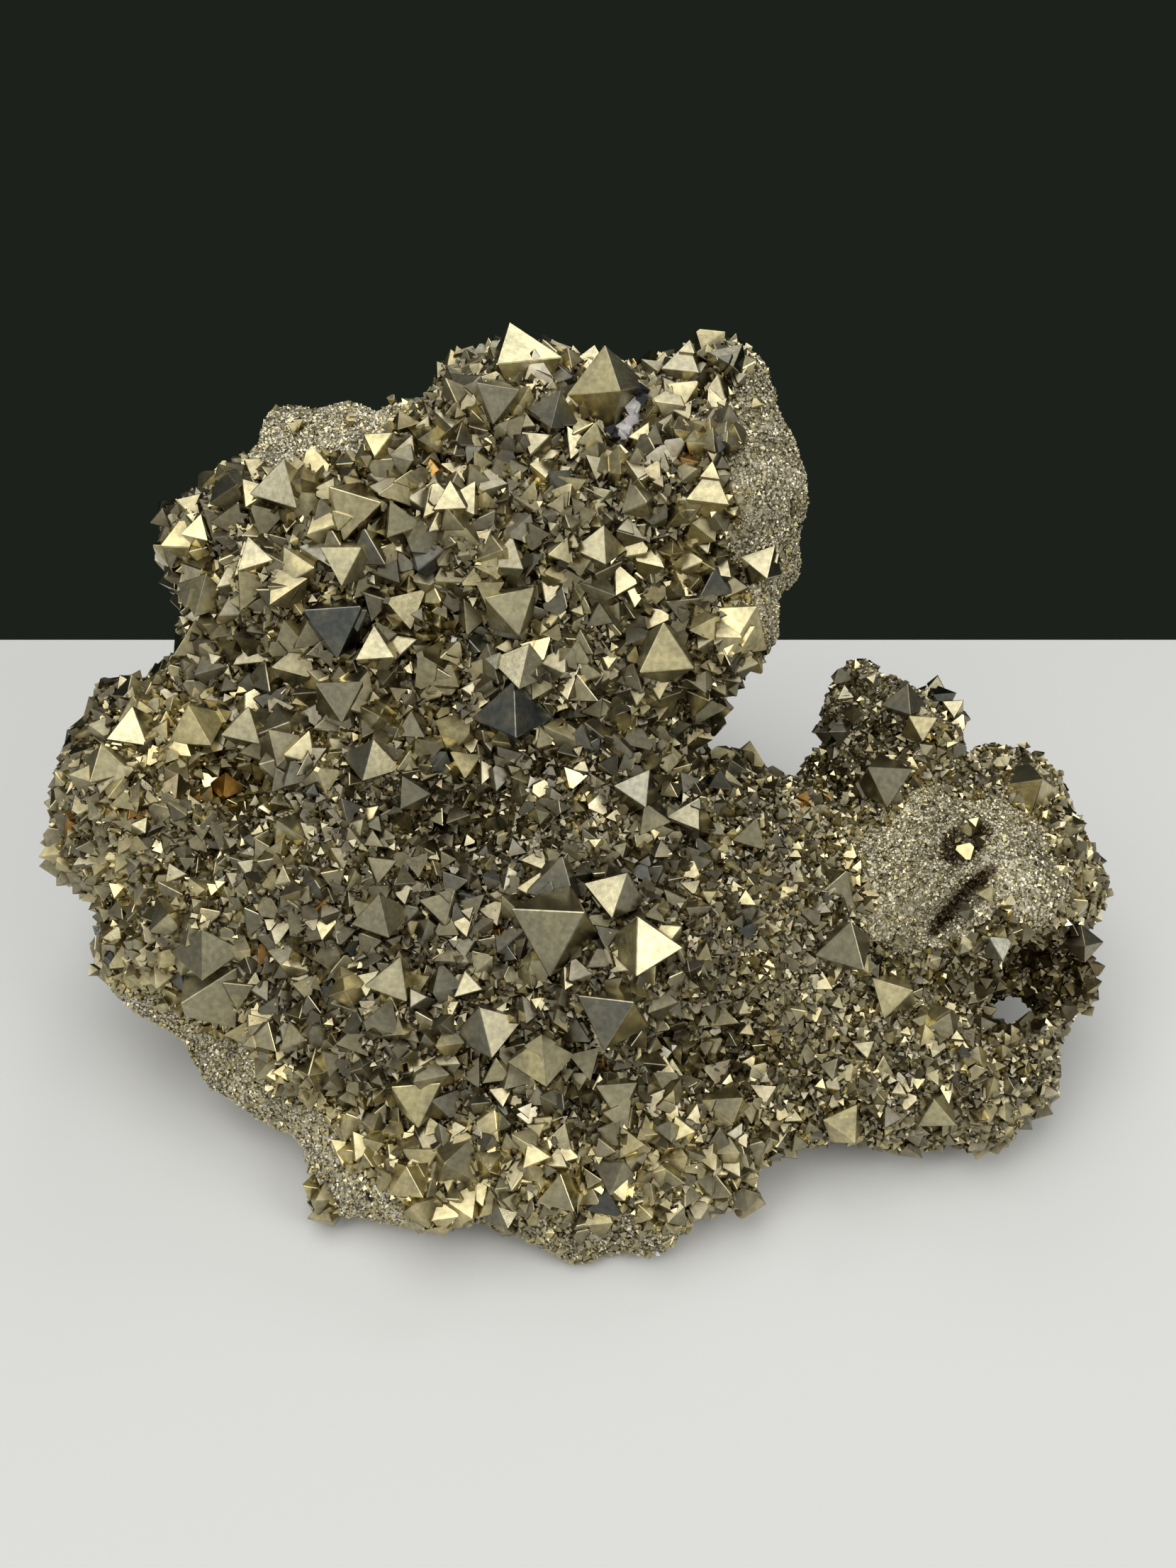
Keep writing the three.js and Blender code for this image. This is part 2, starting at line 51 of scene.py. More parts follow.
# The form, in millimetres. These bodies are the solid's own.
# Each lump: centre, radii and, if it is turned, the turns about X, Y and Z in degrees.
bodies = {
    "head": {
        "middle": (-30, 58, 112), "spread": (1.2, 0.8, 1), "subdivisions": 6,
        "lumps": [
            ((-34, 48, 120), (86, 48, 57), (-12, 0, 0)),
            ((-90, 44, 116), (48, 42, 45)),
            ((26, 52, 131), (48, 42, 52)),
            ((-14, 74, 145), (46, 32, 38), (0, 4, 0)),
            ((38, 68, 149), (31, 30, 32)),
            ((-78, 80, 123), (43, 33, 35)),
            ((-18, 86, 78), (80, 34, 76)),
            ((-44, 16, 95), (82, 33, 38)),
            ((19, 32, 113), (38, 30, 24), (0, -10, 0)),
            ((-46, 34, 50), (88, 58, 62)),
        ],
    },
    "slab": {
        "middle": (-30, -22, 24), "spread": (1.5, 1.2, 0.8), "subdivisions": 6,
        "lumps": [
            ((-34, -10, 76), (72, 30, 30)),
            ((-122, -8, 63), (46, 41, 42)),
            ((-102, 8, 80), (47, 38, 35)),
            ((-82, -24, 62), (48, 42, 34), (12, 0, 0)),
            ((-99, -36, 40), (45, 43, 42), (10, 0, 0)),
            ((-34, -34, 44), (94, 76, 38), (24, 0, 0)),
            ((-2, -40, 54), (54, 48, 29), (22, 0, 0)),
            ((-68, -69, 18), (57, 36, 24), (18, 0, -24)),
            ((-20, -93, 15), (58, 33, 20), (10, 0, 3)),
            ((20, -97, 14), (41, 31, 19), (12, 0, 12)),
            ((48, -30, 43), (66, 52, 31), (20, 0, 0)),
            ((-30, -16, 20), (100, 76, 34)),
        ],
    },
    "block": {
        "middle": (106, -34, 32), "spread": (1.1, 1, 0.9), "subdivisions": 6,
        "lumps": [
            ((91, -70, 19), (63, 31, 21), (10, 0, 2)),
            ((112, -30, 42), (51, 43, 38)),
            ((133, -1, 51), (30, 26, 27)),
        ],
    },
    "knob": {
        "middle": (99, 15, 68), "spread": (1, 1, 1), "subdivisions": 5,
        "lumps": [
            ((82, 19, 92), (18, 15, 18)),
            ((110, 16, 86), (16, 15, 16)),
            ((95, 10, 66), (27, 18, 22)),
        ],
    },
}
# Added for the looks alone: the knob's two rounded tops and the thin rim right of the cave.
looksBodies = {
    "knobTops": {
        "middle": (94, 18, 80), "spread": (1, 1, 1), "subdivisions": 5,
        "lumps": [
            ((83, 19, 82), (15, 13, 14)),
            ((107, 17, 81), (13, 12, 13)),
            ((94, 14, 72), (20, 14, 14)),
        ],
    },
    "caveRim": {
        "middle": (138, -54, 40), "spread": (1, 1, 1.4), "subdivisions": 4,
        "lumps": [
            ((138, -50, 52), (14, 13, 14)),
            ((137, -54, 38), (15, 14, 17)),
            ((134, -58, 24), (15, 14, 14)),
        ],
    },
}
everyBody = {**bodies, **looksBodies}
# The hollows, told like the lumps. Those on the block and the knob differ a little from the solid's in
# width and depth, because crystals line them here.
hollows = {
    "cave": ((131, -63, 49), (15, 20, 12.5), (-45, 0, -22)),
    "caveDrain": ((126, -62, 32), (7.5, 42, 6), (-51, 0, -21)),
    "pocket": ((110, -36, 79), (9, 5.5, 13), (0, 0, 50)),
    "groove": ((105, -57, 71), (2.6, 14, 11), (40, 0, -42)),
    "knobNotch": ((95, 20, 104), (3, 24, 12)),
    "knobPit": ((91, 3, 83), (11, 8, 6)),
    "throatPit": ((-36, -34, 84), (16, 12, 12)),
    "leftPit": ((-104, -26, 92), (13, 9, 9)),
    "leftUndercut": ((-146, -60, 0), (62, 32, 22), (0, 0, -36)),
    "frontUndercut": ((104, -102, -3), (62, 24, 12), (0, 0, 6)),
    "rightUndercut": ((158, -34, -3), (36, 24, 13)),
}
# Flat broken faces of the solid's bodies: a block cut away, by centre, size and turns.
breaks = [((92, 60, 150), (60, 160, 130), (0, -8, 12)), ((-20, 160, 100), (260, 80, 240), (6, 0, -4))]
swells = [  # wave length, height, direction
    (58, 2.4, (1, 0.4, -0.3)),
    (41, 2.4, (-0.3, 1, 0.6)),
    (29, 2, (0.5, -0.7, 1)),
    (23, 1.6, (0.9, 0.8, 0.2)),
]


def turnOf(tilt=(0, 0, 0)):
    return np.array(Euler([math.radians(a) for a in tilt], "ZYX").to_matrix())


def outsideRound(form, points):  # above 0 outside, in mean radii
    at, radii, *tilt = form
    local = (points - np.array(at)) @ turnOf(*tilt)
    return (np.linalg.norm(local / np.array(radii), axis=1) - 1) * (sum(radii) / 3)


def outsideBlock(form, points):
    at, size, tilt = form
    local = (points - np.array(at)) @ turnOf(tilt)
    return np.max(np.abs(local) - np.array(size) / 2, axis=1)


def swellAt(points):
    total = np.zeros(len(points))
    for length, height, along in swells:
        way = np.array(along) / np.linalg.norm(along)
        total += height * np.sin(2 * math.pi * (points @ way) / length)
    return total


def depthInBody(name, points):
    lumps = everyBody[name]["lumps"]
    pull = sum(np.exp(-outsideRound(lump, points) / blend["softness"]) for lump in lumps)
    depth = blend["softness"] * np.log(pull) - blend["drawnIn"] + swellAt(points)
    if name in bodies:
        for block in breaks:
            depth = np.minimum(depth, outsideBlock(block, points))
    return depth


def clearOf(points, names):  # above 0 outside all these hollows
    return np.min([outsideRound(hollows[name], points) for name in names], axis=0)


def depthAt(points):
    inBodies = np.max([depthInBody(name, points) for name in everyBody], axis=0)
    return np.minimum(inBodies, clearOf(points, hollows))


def outwardAt(points, step=blend["slopeStep"]):
    slope = np.empty_like(points)
    for axis in range(3):
        shift = np.zeros(3)
        shift[axis] = step
        slope[:, axis] = depthAt(points - shift) - depthAt(points + shift)
    return slope / np.maximum(np.linalg.norm(slope, axis=1, keepdims=True), 1e-9)


pitch = math.radians(viewpoint["pitch"])
viewRight = np.array((1.0, 0, 0))
viewUp = np.array((0, math.sin(pitch), math.cos(pitch)))
viewTowards = np.array((0, -math.cos(pitch), math.sin(pitch)))


def surfaceUnder(pixels):  # the first points of the form that the camera sees there
    pixels = np.array(pixels, dtype=float)
    centre, focal = viewpoint["centre"], viewpoint["focal"]
    across, up = (pixels[:, :1] - centre[0]) / focal, (centre[1] - pixels[:, 1:]) / focal
    rays = -viewTowards + across * viewRight + up * viewUp
    hits = np.full((len(rays), 3), np.nan)
    for reach in np.arange(*viewpoint["within"]):
        ahead = np.array(viewpoint["at"]) + rays * reach
        new = np.isnan(hits[:, 0]) & (depthAt(ahead) > 0)
        hits[new] = ahead[new]
    return hits


def pixelsOf(places):
    away = places - np.array(viewpoint["at"])
    far = -(away @ viewTowards)
    across = viewpoint["centre"][0] + viewpoint["focal"] * (away @ viewRight) / far
    down = viewpoint["centre"][1] - viewpoint["focal"] * (away @ viewUp) / far
    return np.stack([across, down], axis=1)


# Where the crystals are smaller: ellipses in the photograph (centre, radii, turn in degrees) and the
# share of the full crystal size there. The wide ones come first, then the sugary crusts and the rims.
finer = [
    ((930, 730), (210, 300), 0, 0.85),
    ((640, 1180), (560, 110), 0, 0.68),
    ((720, 1440), (640, 330), 0, 0.78),
    ((150, 1130), (150, 240), 0, 0.72),
    ((1320, 1500), (290, 160), 0, 0.58),
    ((1180, 1300), (190, 210), 0, 0.55),
    ((1330, 1100), (230, 130), 0, 0.5),
    ((1500, 1250), (110, 230), 0, 0.55),
    ((1210, 990), (70, 80), 0, 0.36),
    ((1335, 1215), (118, 100), 8, 0.12),
    ((1290, 1300), (62, 50), 30, 0.12),
    ((1445, 1225), (58, 84), -10, 0.2),
    ((1094, 690), (62, 240), 0, 0.16),
    ((430, 606), (160, 44), -14, 0.12),
    ((375, 1572), (280, 42), 42, 0.16),
    ((800, 1755), (340, 34), 0, 0.24),
]
# Painted light and shade by region, told in the same way, with the shift in tone: raised as painted light on
# the crusts, the lobe, the tongue and the block, lowered as painted shade in the middle, on the slab and on
# the knob.
paintedLightAndShade = [
    ((150, 1150), (150, 260), 0, 0.22),
    ((720, 1690), (440, 110), 0, 0.2),
    ((375, 1560), (290, 70), 42, 0.4),
    ((1500, 1220), (100, 190), 0, 0.12),
    ((1094, 690), (66, 240), 0, 0.14),
    ((430, 606), (170, 60), -14, 0.4),
    ((1330, 1220), (150, 110), 8, 0.15),
    ((640, 1180), (430, 110), 0, -0.1),
    ((700, 1400), (330, 180), 0, -0.14),
    ((1215, 1030), (60, 90), 0, -0.1),
]
# The edge of an ellipse is wavy and soft: the waves are in pixels, the rest in shares of its radii.
zoneEdge = {"wave": 12, "every": 17, "outside": 1.2, "soft": 0.25}
# Hollows darkened inside with a rust brown: in the cave it is the iron stain of the stone, in the pocket
# and the groove it is painted shade that draws the groove as a dark line. For each: how dark, how far out
# the darkening ends and how far it fades.
darkenedHollows = [
    (("cave", "caveDrain"), 0.35, 3, 3),
    (("pocket", "groove"), 0.95, 2.5, 2),
    (("knobPit",), 0.45, 3, 4),
]
# The back isn't seen: from y = 60 mm on its crystals get smaller, by up to this share, and on its faces
# and the underside's they are fewer.
backLook = {"from": 60, "over": 30, "smaller": 0.35, "facingBack": 0.45, "facingDown": -0.6, "fewer": 0.3}


def insideOf(region, pixels):  # 1 well inside the ellipse, 0 outside
    centre, radii, turn, _ = region
    c, s = math.cos(math.radians(turn)), math.sin(math.radians(turn))
    away = pixels + zoneEdge["wave"] * np.sin(pixels[:, ::-1] / zoneEdge["every"]) - np.array(centre)
    across, down = away @ np.array((c, s)), away @ np.array((-s, c))
    inwards = zoneEdge["outside"] - np.hypot(across / radii[0], down / radii[1])
    return np.clip(inwards, 0, zoneEdge["soft"]) / zoneEdge["soft"]


def sizeShareAt(places):
    share = np.ones(len(places))
    pixels = pixelsOf(places)
    for region in finer:
        share = np.minimum(share, 1 - insideOf(region, pixels) * (1 - region[3]))
    behind = np.clip((places[:, 1] - backLook["from"]) / backLook["over"], 0, 1)
    return share * (1 - backLook["smaller"] * behind)


def paintedLightAndShadeAt(places):
    pixels = pixelsOf(places)
    return sum(insideOf(region, pixels) * region[3] for region in paintedLightAndShade)


def rustAndShadeAt(places):
    return np.max([
        np.clip((reach - clearOf(places, names)) / fade, 0, 1) * share
        for names, share, reach, fade in darkenedHollows
    ], axis=0)


def randomFrom(seed):  # the same run of numbers as in the solid
    state = seed
    while True:
        state = state * 16807 % 2147483647
        yield state / 2147483647


def linear(hexColour):
    parts = [int(hexColour[i:i + 2], 16) / 255 for i in (1, 3, 5)]
    return [c / 12.92 if c <= 0.04045 else ((c + 0.055) / 1.055) ** 2.4 for c in parts] + [1]


def addNode(tree, kind, settings=None, inputs=None, links=None):  # a node is linked by its first output
    node = tree.nodes.new("ShaderNode" + kind)
    for key, value in (settings or {}).items():
        setattr(node, key, value)
    for key, value in (inputs or {}).items():
        node.inputs[key].default_value = value
    for key, source in (links or {}).items():
        if isinstance(source, bpy.types.Node):
            source = next(socket for socket in source.outputs if socket.enabled)
        tree.links.new(source, node.inputs[key])
    return node


def newMaterial(name):
    material = bpy.data.materials.new(name)
    material.use_nodes = True
    material.node_tree.nodes.clear()
    return material, material.node_tree


def setRamp(node, stops):
    ramp = node.color_ramp
    while len(ramp.elements) > len(stops):
        ramp.elements.remove(ramp.elements[-1])
    while len(ramp.elements) < len(stops):
        ramp.elements.new(1)
    for element, (place, colour) in zip(ramp.elements, stops):
        element.position = place
        element.color = linear(colour)


# Pyrite, iron disulphide, grown as octahedra: a metal to the eye, brass yellow on a clean face, olive
# and greyer where it has dulled. Low down between the crystals a dark brown is painted shade; in the hollows
# a rust brown is the iron stain of the stone in the cave and painted shade in the pocket and the groove. The
# ends
# of the tones are the rare ones: blue-grey, a painted reflection of a grey sky, and orange. Sizes are in
# millimetres.
pyriteLook = {
    "tones": [(0, "#606462"), (0.05, "#77766a"), (0.3, "#938d75"), (0.6, "#b4ac8a"),
              (0.95, "#d8cb98"), (1, "#bd8f4c")],
    "dull": "#8f8973", "dullShare": 0.6, "stainSize": 9, "stainBand": (0.45, 0.65),
    # Painted shade: the dark brown that low points between the crystals take.
    "paintedGapShade": "#4f412c", "paintedGapShadeShare": 0.75, "paintedGapShadeBelow": 0.55, "rustAndShade": "#57462f",
    "mottle": (0.72, 1.13), "mottleSize": 1.6, "mottleBand": (0.3, 0.7),
    "roughness": (0.17, 0.42), "metal": 1.0,
    "bump": 0.12, "bumpHeight": 0.1, "grainSize": 0.45, "facets": 0, "facetTilt": 0.6,
    "growth": 0.5, "growthHeight": 0.12, "growthStep": 1.3, "wander": 1.6, "wanderSize": 4,
}
# The same mineral as a crust of tiny crystals, like sugar: each too small to see, together a soft glitter.
sugarLook = {
    **pyriteLook,
    "tones": [(0, "#94917f"), (0.1, "#bdb69d"), (0.5, "#c9c0a0"), (0.9, "#dcd5bb"), (1, "#ebe6d4")],
    "roughness": (0.25, 0.5), "bump": 0.3, "paintedGapShadeShare": 0.8, "grainSize": 0.7, "metal": 0.8, "facets": 0.9,
}


def makePyrite(name, look, growthLines=False):
    material, tree = newMaterial(name)
    place = addNode(tree, "TexCoord").outputs["Object"]
    tone, lift, wear, rustAndShade = [
        addNode(tree, "Attribute", {"attribute_name": value}).outputs["Fac"]
        for value in ("tone", "lift", "wear", "rustAndShade")
    ]
    stain, mottle, grain = [
        addNode(tree, "TexNoise", inputs={"Scale": 1 / (look[size] * mm), "Detail": detail},
                links={"Vector": place})
        for size, detail in (("stainSize", 4.0), ("mottleSize", 5.0), ("grainSize", 2.0))
    ]
    colour = addNode(tree, "ValToRGB", links={"Fac": tone})
    setRamp(colour, look["tones"])
    start, end = look["stainBand"]
    stained = addNode(tree, "MapRange", links={"Value": stain},
                      inputs={"From Min": start, "From Max": end, "To Max": look["dullShare"]})
    low = addNode(tree, "MapRange", links={"Value": lift},
                  # Painted shade: the lower a point stands, the more it mixes to the dark brown.
                  inputs={"From Max": look["paintedGapShadeBelow"], "To Min": look["paintedGapShadeShare"], "To Max": 0.0})
    # The rust brown is iron stain in the cave and painted shade in the pocket and the groove.
    for over, share in (("dull", stained), ("paintedGapShade", low), ("rustAndShade", rustAndShade)):
        colour = addNode(tree, "Mix", {"data_type": "RGBA"}, {"B": linear(look[over])},
                         {"Factor": share, "A": colour})
    (start, end), (darkest, lightest) = look["mottleBand"], look["mottle"]
    shade = addNode(tree, "MapRange", links={"Value": mottle},
                    inputs={"From Min": start, "From Max": end, "To Min": darkest, "To Max": lightest})
    colour = addNode(tree, "Mix", {"data_type": "RGBA", "blend_type": "MULTIPLY"}, {"Factor": 1.0},
                     {"A": colour, "B": shade})
    smooth, worn = look["roughness"]
    polish = addNode(tree, "MapRange", links={"Value": wear}, inputs={"To Min": smooth, "To Max": worn})
    bump = addNode(tree, "Bump", inputs={"Strength": look["bump"], "Distance": look["bumpHeight"] * mm},
                   links={"Height": grain})
    if look["facets"]:  # each tiny crystal of the crust turns its own way
        cells = addNode(tree, "TexVoronoi", inputs={"Scale": 1 / (look["facets"] * mm)},
                        links={"Vector": place})
        ways = addNode(tree, "VectorMath", {"operation": "SUBTRACT"}, {1: (0.5, 0.5, 0.5)},
                       {0: cells.outputs["Color"]})
        straight = addNode(tree, "NewGeometry").outputs["Normal"]
        turned = addNode(tree, "VectorMath", {"operation": "MULTIPLY_ADD"}, {1: [look["facetTilt"]] * 3},
                         {0: ways, 2: straight})
        facing = addNode(tree, "VectorMath", {"operation": "NORMALIZE"}, links={0: turned})
        tree.links.new(facing.outputs["Vector"], bump.inputs["Normal"])
    if growthLines:  # steps parallel to a face's three edges, as the face grew layer by layer
        own = addNode(tree, "Attribute", {"attribute_name": "own"}).outputs["Vector"]
        size = addNode(tree, "VectorMath", {"operation": "ABSOLUTE"}, links={0: own})
        x, y, z = addNode(tree, "SeparateXYZ", links={"Vector": size}).outputs
        least = addNode(tree, "Math", {"operation": "MINIMUM"}, links={0: x, 1: y})
        least = addNode(tree, "Math", {"operation": "MINIMUM"}, links={0: least, 1: z})
        wander = addNode(tree, "TexNoise", inputs={"Scale": 1 / (look["wanderSize"] * mm), "Detail": 1.0},
                         links={"Vector": place})
        shifted = addNode(tree, "Math", {"operation": "MULTIPLY_ADD"}, {1: look["wander"]},
                          {0: wander, 2: least})
        stepped = addNode(tree, "Math", {"operation": "SNAP"}, {1: look["growthStep"]}, {0: shifted})
        bump = addNode(tree, "Bump", links={"Height": stepped, "Normal": bump},
                       inputs={"Strength": look["growth"], "Distance": look["growthHeight"] * mm})
    surface = addNode(tree, "BsdfPrincipled", inputs={"Metallic": look["metal"]},
                      links={"Base Color": colour, "Roughness": polish, "Normal": bump})
    addNode(tree, "OutputMaterial", links={"Surface": surface})
    return material


largePyrite = makePyrite("pyriteGrownFaces", pyriteLook, growthLines=True)
crystalPyrite = makePyrite("pyriteCrystalFaces", pyriteLook)
crustPyrite = makePyrite("pyriteSugaryCrust", sugarLook)
print("materials made")


def coordinatesOf(mesh):
    flat = np.empty(len(mesh.vertices) * 3)
    mesh.vertices.foreach_get("co", flat)
    return flat.reshape(-1, 3)


def addValues(mesh, name, domain, values):
    layer = mesh.attributes.new(name, "FLOAT", domain)
    layer.data.foreach_set("value", np.asarray(values, dtype=np.float32))


def addObject(name, data):
    thing = bpy.data.objects.new(name, data)
    bpy.context.collection.objects.link(thing)
    return thing


def addPiece(name, mesh, material):
    piece = addObject(name, mesh)
    mesh.materials.append(material)
    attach(piece, "root")
    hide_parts("pyrite_cluster")


# The mass between the crystals: a rough crust, finer than the solid's facets. Its surface is followed
# out in strides and then joined in voxels, and the waves are told by their size and height.
crust = {
    "under": 2.0, "stride": 1.5, "halvings": 5, "voxel": 1.85, "coarse": (15, 2.0), "middle": (6, 1.0),
    "grain": 0.45, "calm": 0.35, "cutterFine": 4, "cutterRough": 2.0, "cutterWave": 7, "cutterGrown": 1.2,
    "flatBelow": 0.5, "tones": (0.15, 0.9), "darkest": 0.1, "bareRock": ((34, 20, 82), 16), "lift": 0.5,
    "seed": 11,
}


def meshFrom(bm, name):
    mesh = bpy.data.meshes.new(name)
    bm.to_mesh(mesh)
    bm.free()
    return mesh


def measureBody(name):  # an icosphere whose points are followed out to the surface
    body = everyBody[name]
    bm = bmesh.new()
    bmesh.ops.create_icosphere(bm, subdivisions=body["subdivisions"], radius=1)
    mesh = meshFrom(bm, name + "Body")
    ways = coordinatesOf(mesh) * np.array(body["spread"])
    ways /= np.linalg.norm(ways, axis=1, keepdims=True)
    middle = np.array(body["middle"], dtype=float)
    reach = np.zeros(len(ways))
    running = np.arange(len(ways))
    while len(running):
        ahead = middle + ways[running] * (reach[running] + crust["stride"])[:, None]
        running = running[depthInBody(name, ahead) > crust["under"]]
        reach[running] += crust["stride"]
    low, high = reach.copy(), reach + crust["stride"]
    for _ in range(crust["halvings"]):
        halfway = (low + high) / 2
        within = depthInBody(name, middle + ways * halfway[:, None]) > crust["under"]
        low, high = np.where(within, halfway, low), np.where(within, high, halfway)
    mesh.vertices.foreach_set("co", (middle + ways * low[:, None]).ravel())
    mesh.update()
    return mesh


def makeCutter(form, index):
    at, radii, *tilt = form
    bm = bmesh.new()
    bmesh.ops.create_icosphere(bm, subdivisions=crust["cutterFine"], radius=1)
    bmesh.ops.scale(bm, vec=[r + crust["cutterGrown"] for r in radii], verts=bm.verts)
    bmesh.ops.rotate(bm, matrix=Matrix(turnOf(*tilt)), verts=bm.verts)
    bmesh.ops.translate(bm, vec=at, verts=bm.verts)
    for vert in bm.verts:
        away = (vert.co - Vector(at)).normalized()
        vert.co += away * crust["cutterRough"] * noise.noise(vert.co / crust["cutterWave"])
    name = "cutter" + str(index)
    return addObject(name, meshFrom(bm, name))


def finishedMesh(thing):
    graph = bpy.context.evaluated_depsgraph_get()
    graph.update()
    return bpy.data.meshes.new_from_object(thing.evaluated_get(graph), depsgraph=graph)


cutters = [makeCutter(form, i) for i, form in enumerate(hollows.values())]
bm = bmesh.new()
for name in everyBody:
    body = addObject(name + "Body", measureBody(name))
    for cutter in cutters:
        cut = body.modifiers.new("cut", "BOOLEAN")
        cut.operation, cut.object, cut.solver = "DIFFERENCE", cutter, "EXACT"
    whole = finishedMesh(body)
    bm.from_mesh(whole)
    bpy.data.meshes.remove(whole)
    bpy.data.objects.remove(body)
for cutter in cutters:
    bpy.data.objects.remove(cutter)
blank = addObject("blank", meshFrom(bm, "blank"))
remesh = blank.modifiers.new("remesh", "REMESH")
remesh.mode, remesh.voxel_size, remesh.adaptivity = "VOXEL", crust["voxel"], 0.0
massMesh = finishedMesh(blank)
bpy.data.objects.remove(blank)
massMesh.name = "pyriteMass"
print("mass joined", len(massMesh.polygons), "faces")

points = coordinatesOf(massMesh)
flatNormals = np.empty(points.size)
massMesh.vertices.foreach_get("normal", flatNormals)
normals = flatNormals.reshape(-1, 3)
rng = np.random.default_rng(crust["seed"])
coarseSize, coarseHeight = crust["coarse"]
middleSize, middleHeight = crust["middle"]
relief = np.array([
    coarseHeight * noise.noise(Vector(p) / coarseSize)
    + middleHeight * noise.noise(Vector(p) / middleSize + Vector((7, 3, 5)))
    for p in points
])
onBase = points[:, 2] < crust["flatBelow"]
calm = (crust["calm"] + (1 - crust["calm"]) * sizeShareAt(points))[:, None]  # flatter where the crust is fine
points = points + (normals * relief[:, None] + rng.normal(0, crust["grain"] / 2, points.shape)) * calm
points[:, 2] = np.maximum(points[:, 2], 0)
points[onBase, 2] = 0
massMesh.vertices.foreach_set("co", ((points + toMiddle) * mm).ravel())
massMesh.update()
massMesh.shade_flat()
bareAt, bareReach = crust["bareRock"]  # plain grey at the neck
bareRock = np.linalg.norm(points - np.array(bareAt), axis=1) < bareReach
# The mass's tone is shifted by the painted light and shade of its region.
massTone = np.clip(rng.uniform(*crust["tones"], len(points)) + paintedLightAndShadeAt(points), crust["darkest"], 1)
addValues(massMesh, "tone", "POINT", np.where(bareRock, 0, massTone))
# Rust brown in the hollows: iron stain in the cave, painted shade in the pocket and the groove.
addValues(massMesh, "rustAndShade", "POINT", rustAndShadeAt(points))
addValues(massMesh, "lift", "POINT", crust["lift"] * (1 - sizeShareAt(points)))  # painted shade: low here between the big crystals, where the mass takes the dark brown
addValues(massMesh, "wear", "POINT", rng.uniform(0, 1, len(points)))
addPiece("pyriteMass", massMesh, crustPyrite)
massMesh.calc_loop_triangles()
corners = np.empty(len(massMesh.loop_triangles) * 3, dtype=np.int32)
massMesh.loop_triangles.foreach_get("vertices", corners)
massTriangles = points[corners.reshape(-1, 3)]
print("mass made", len(massTriangles), "triangles")

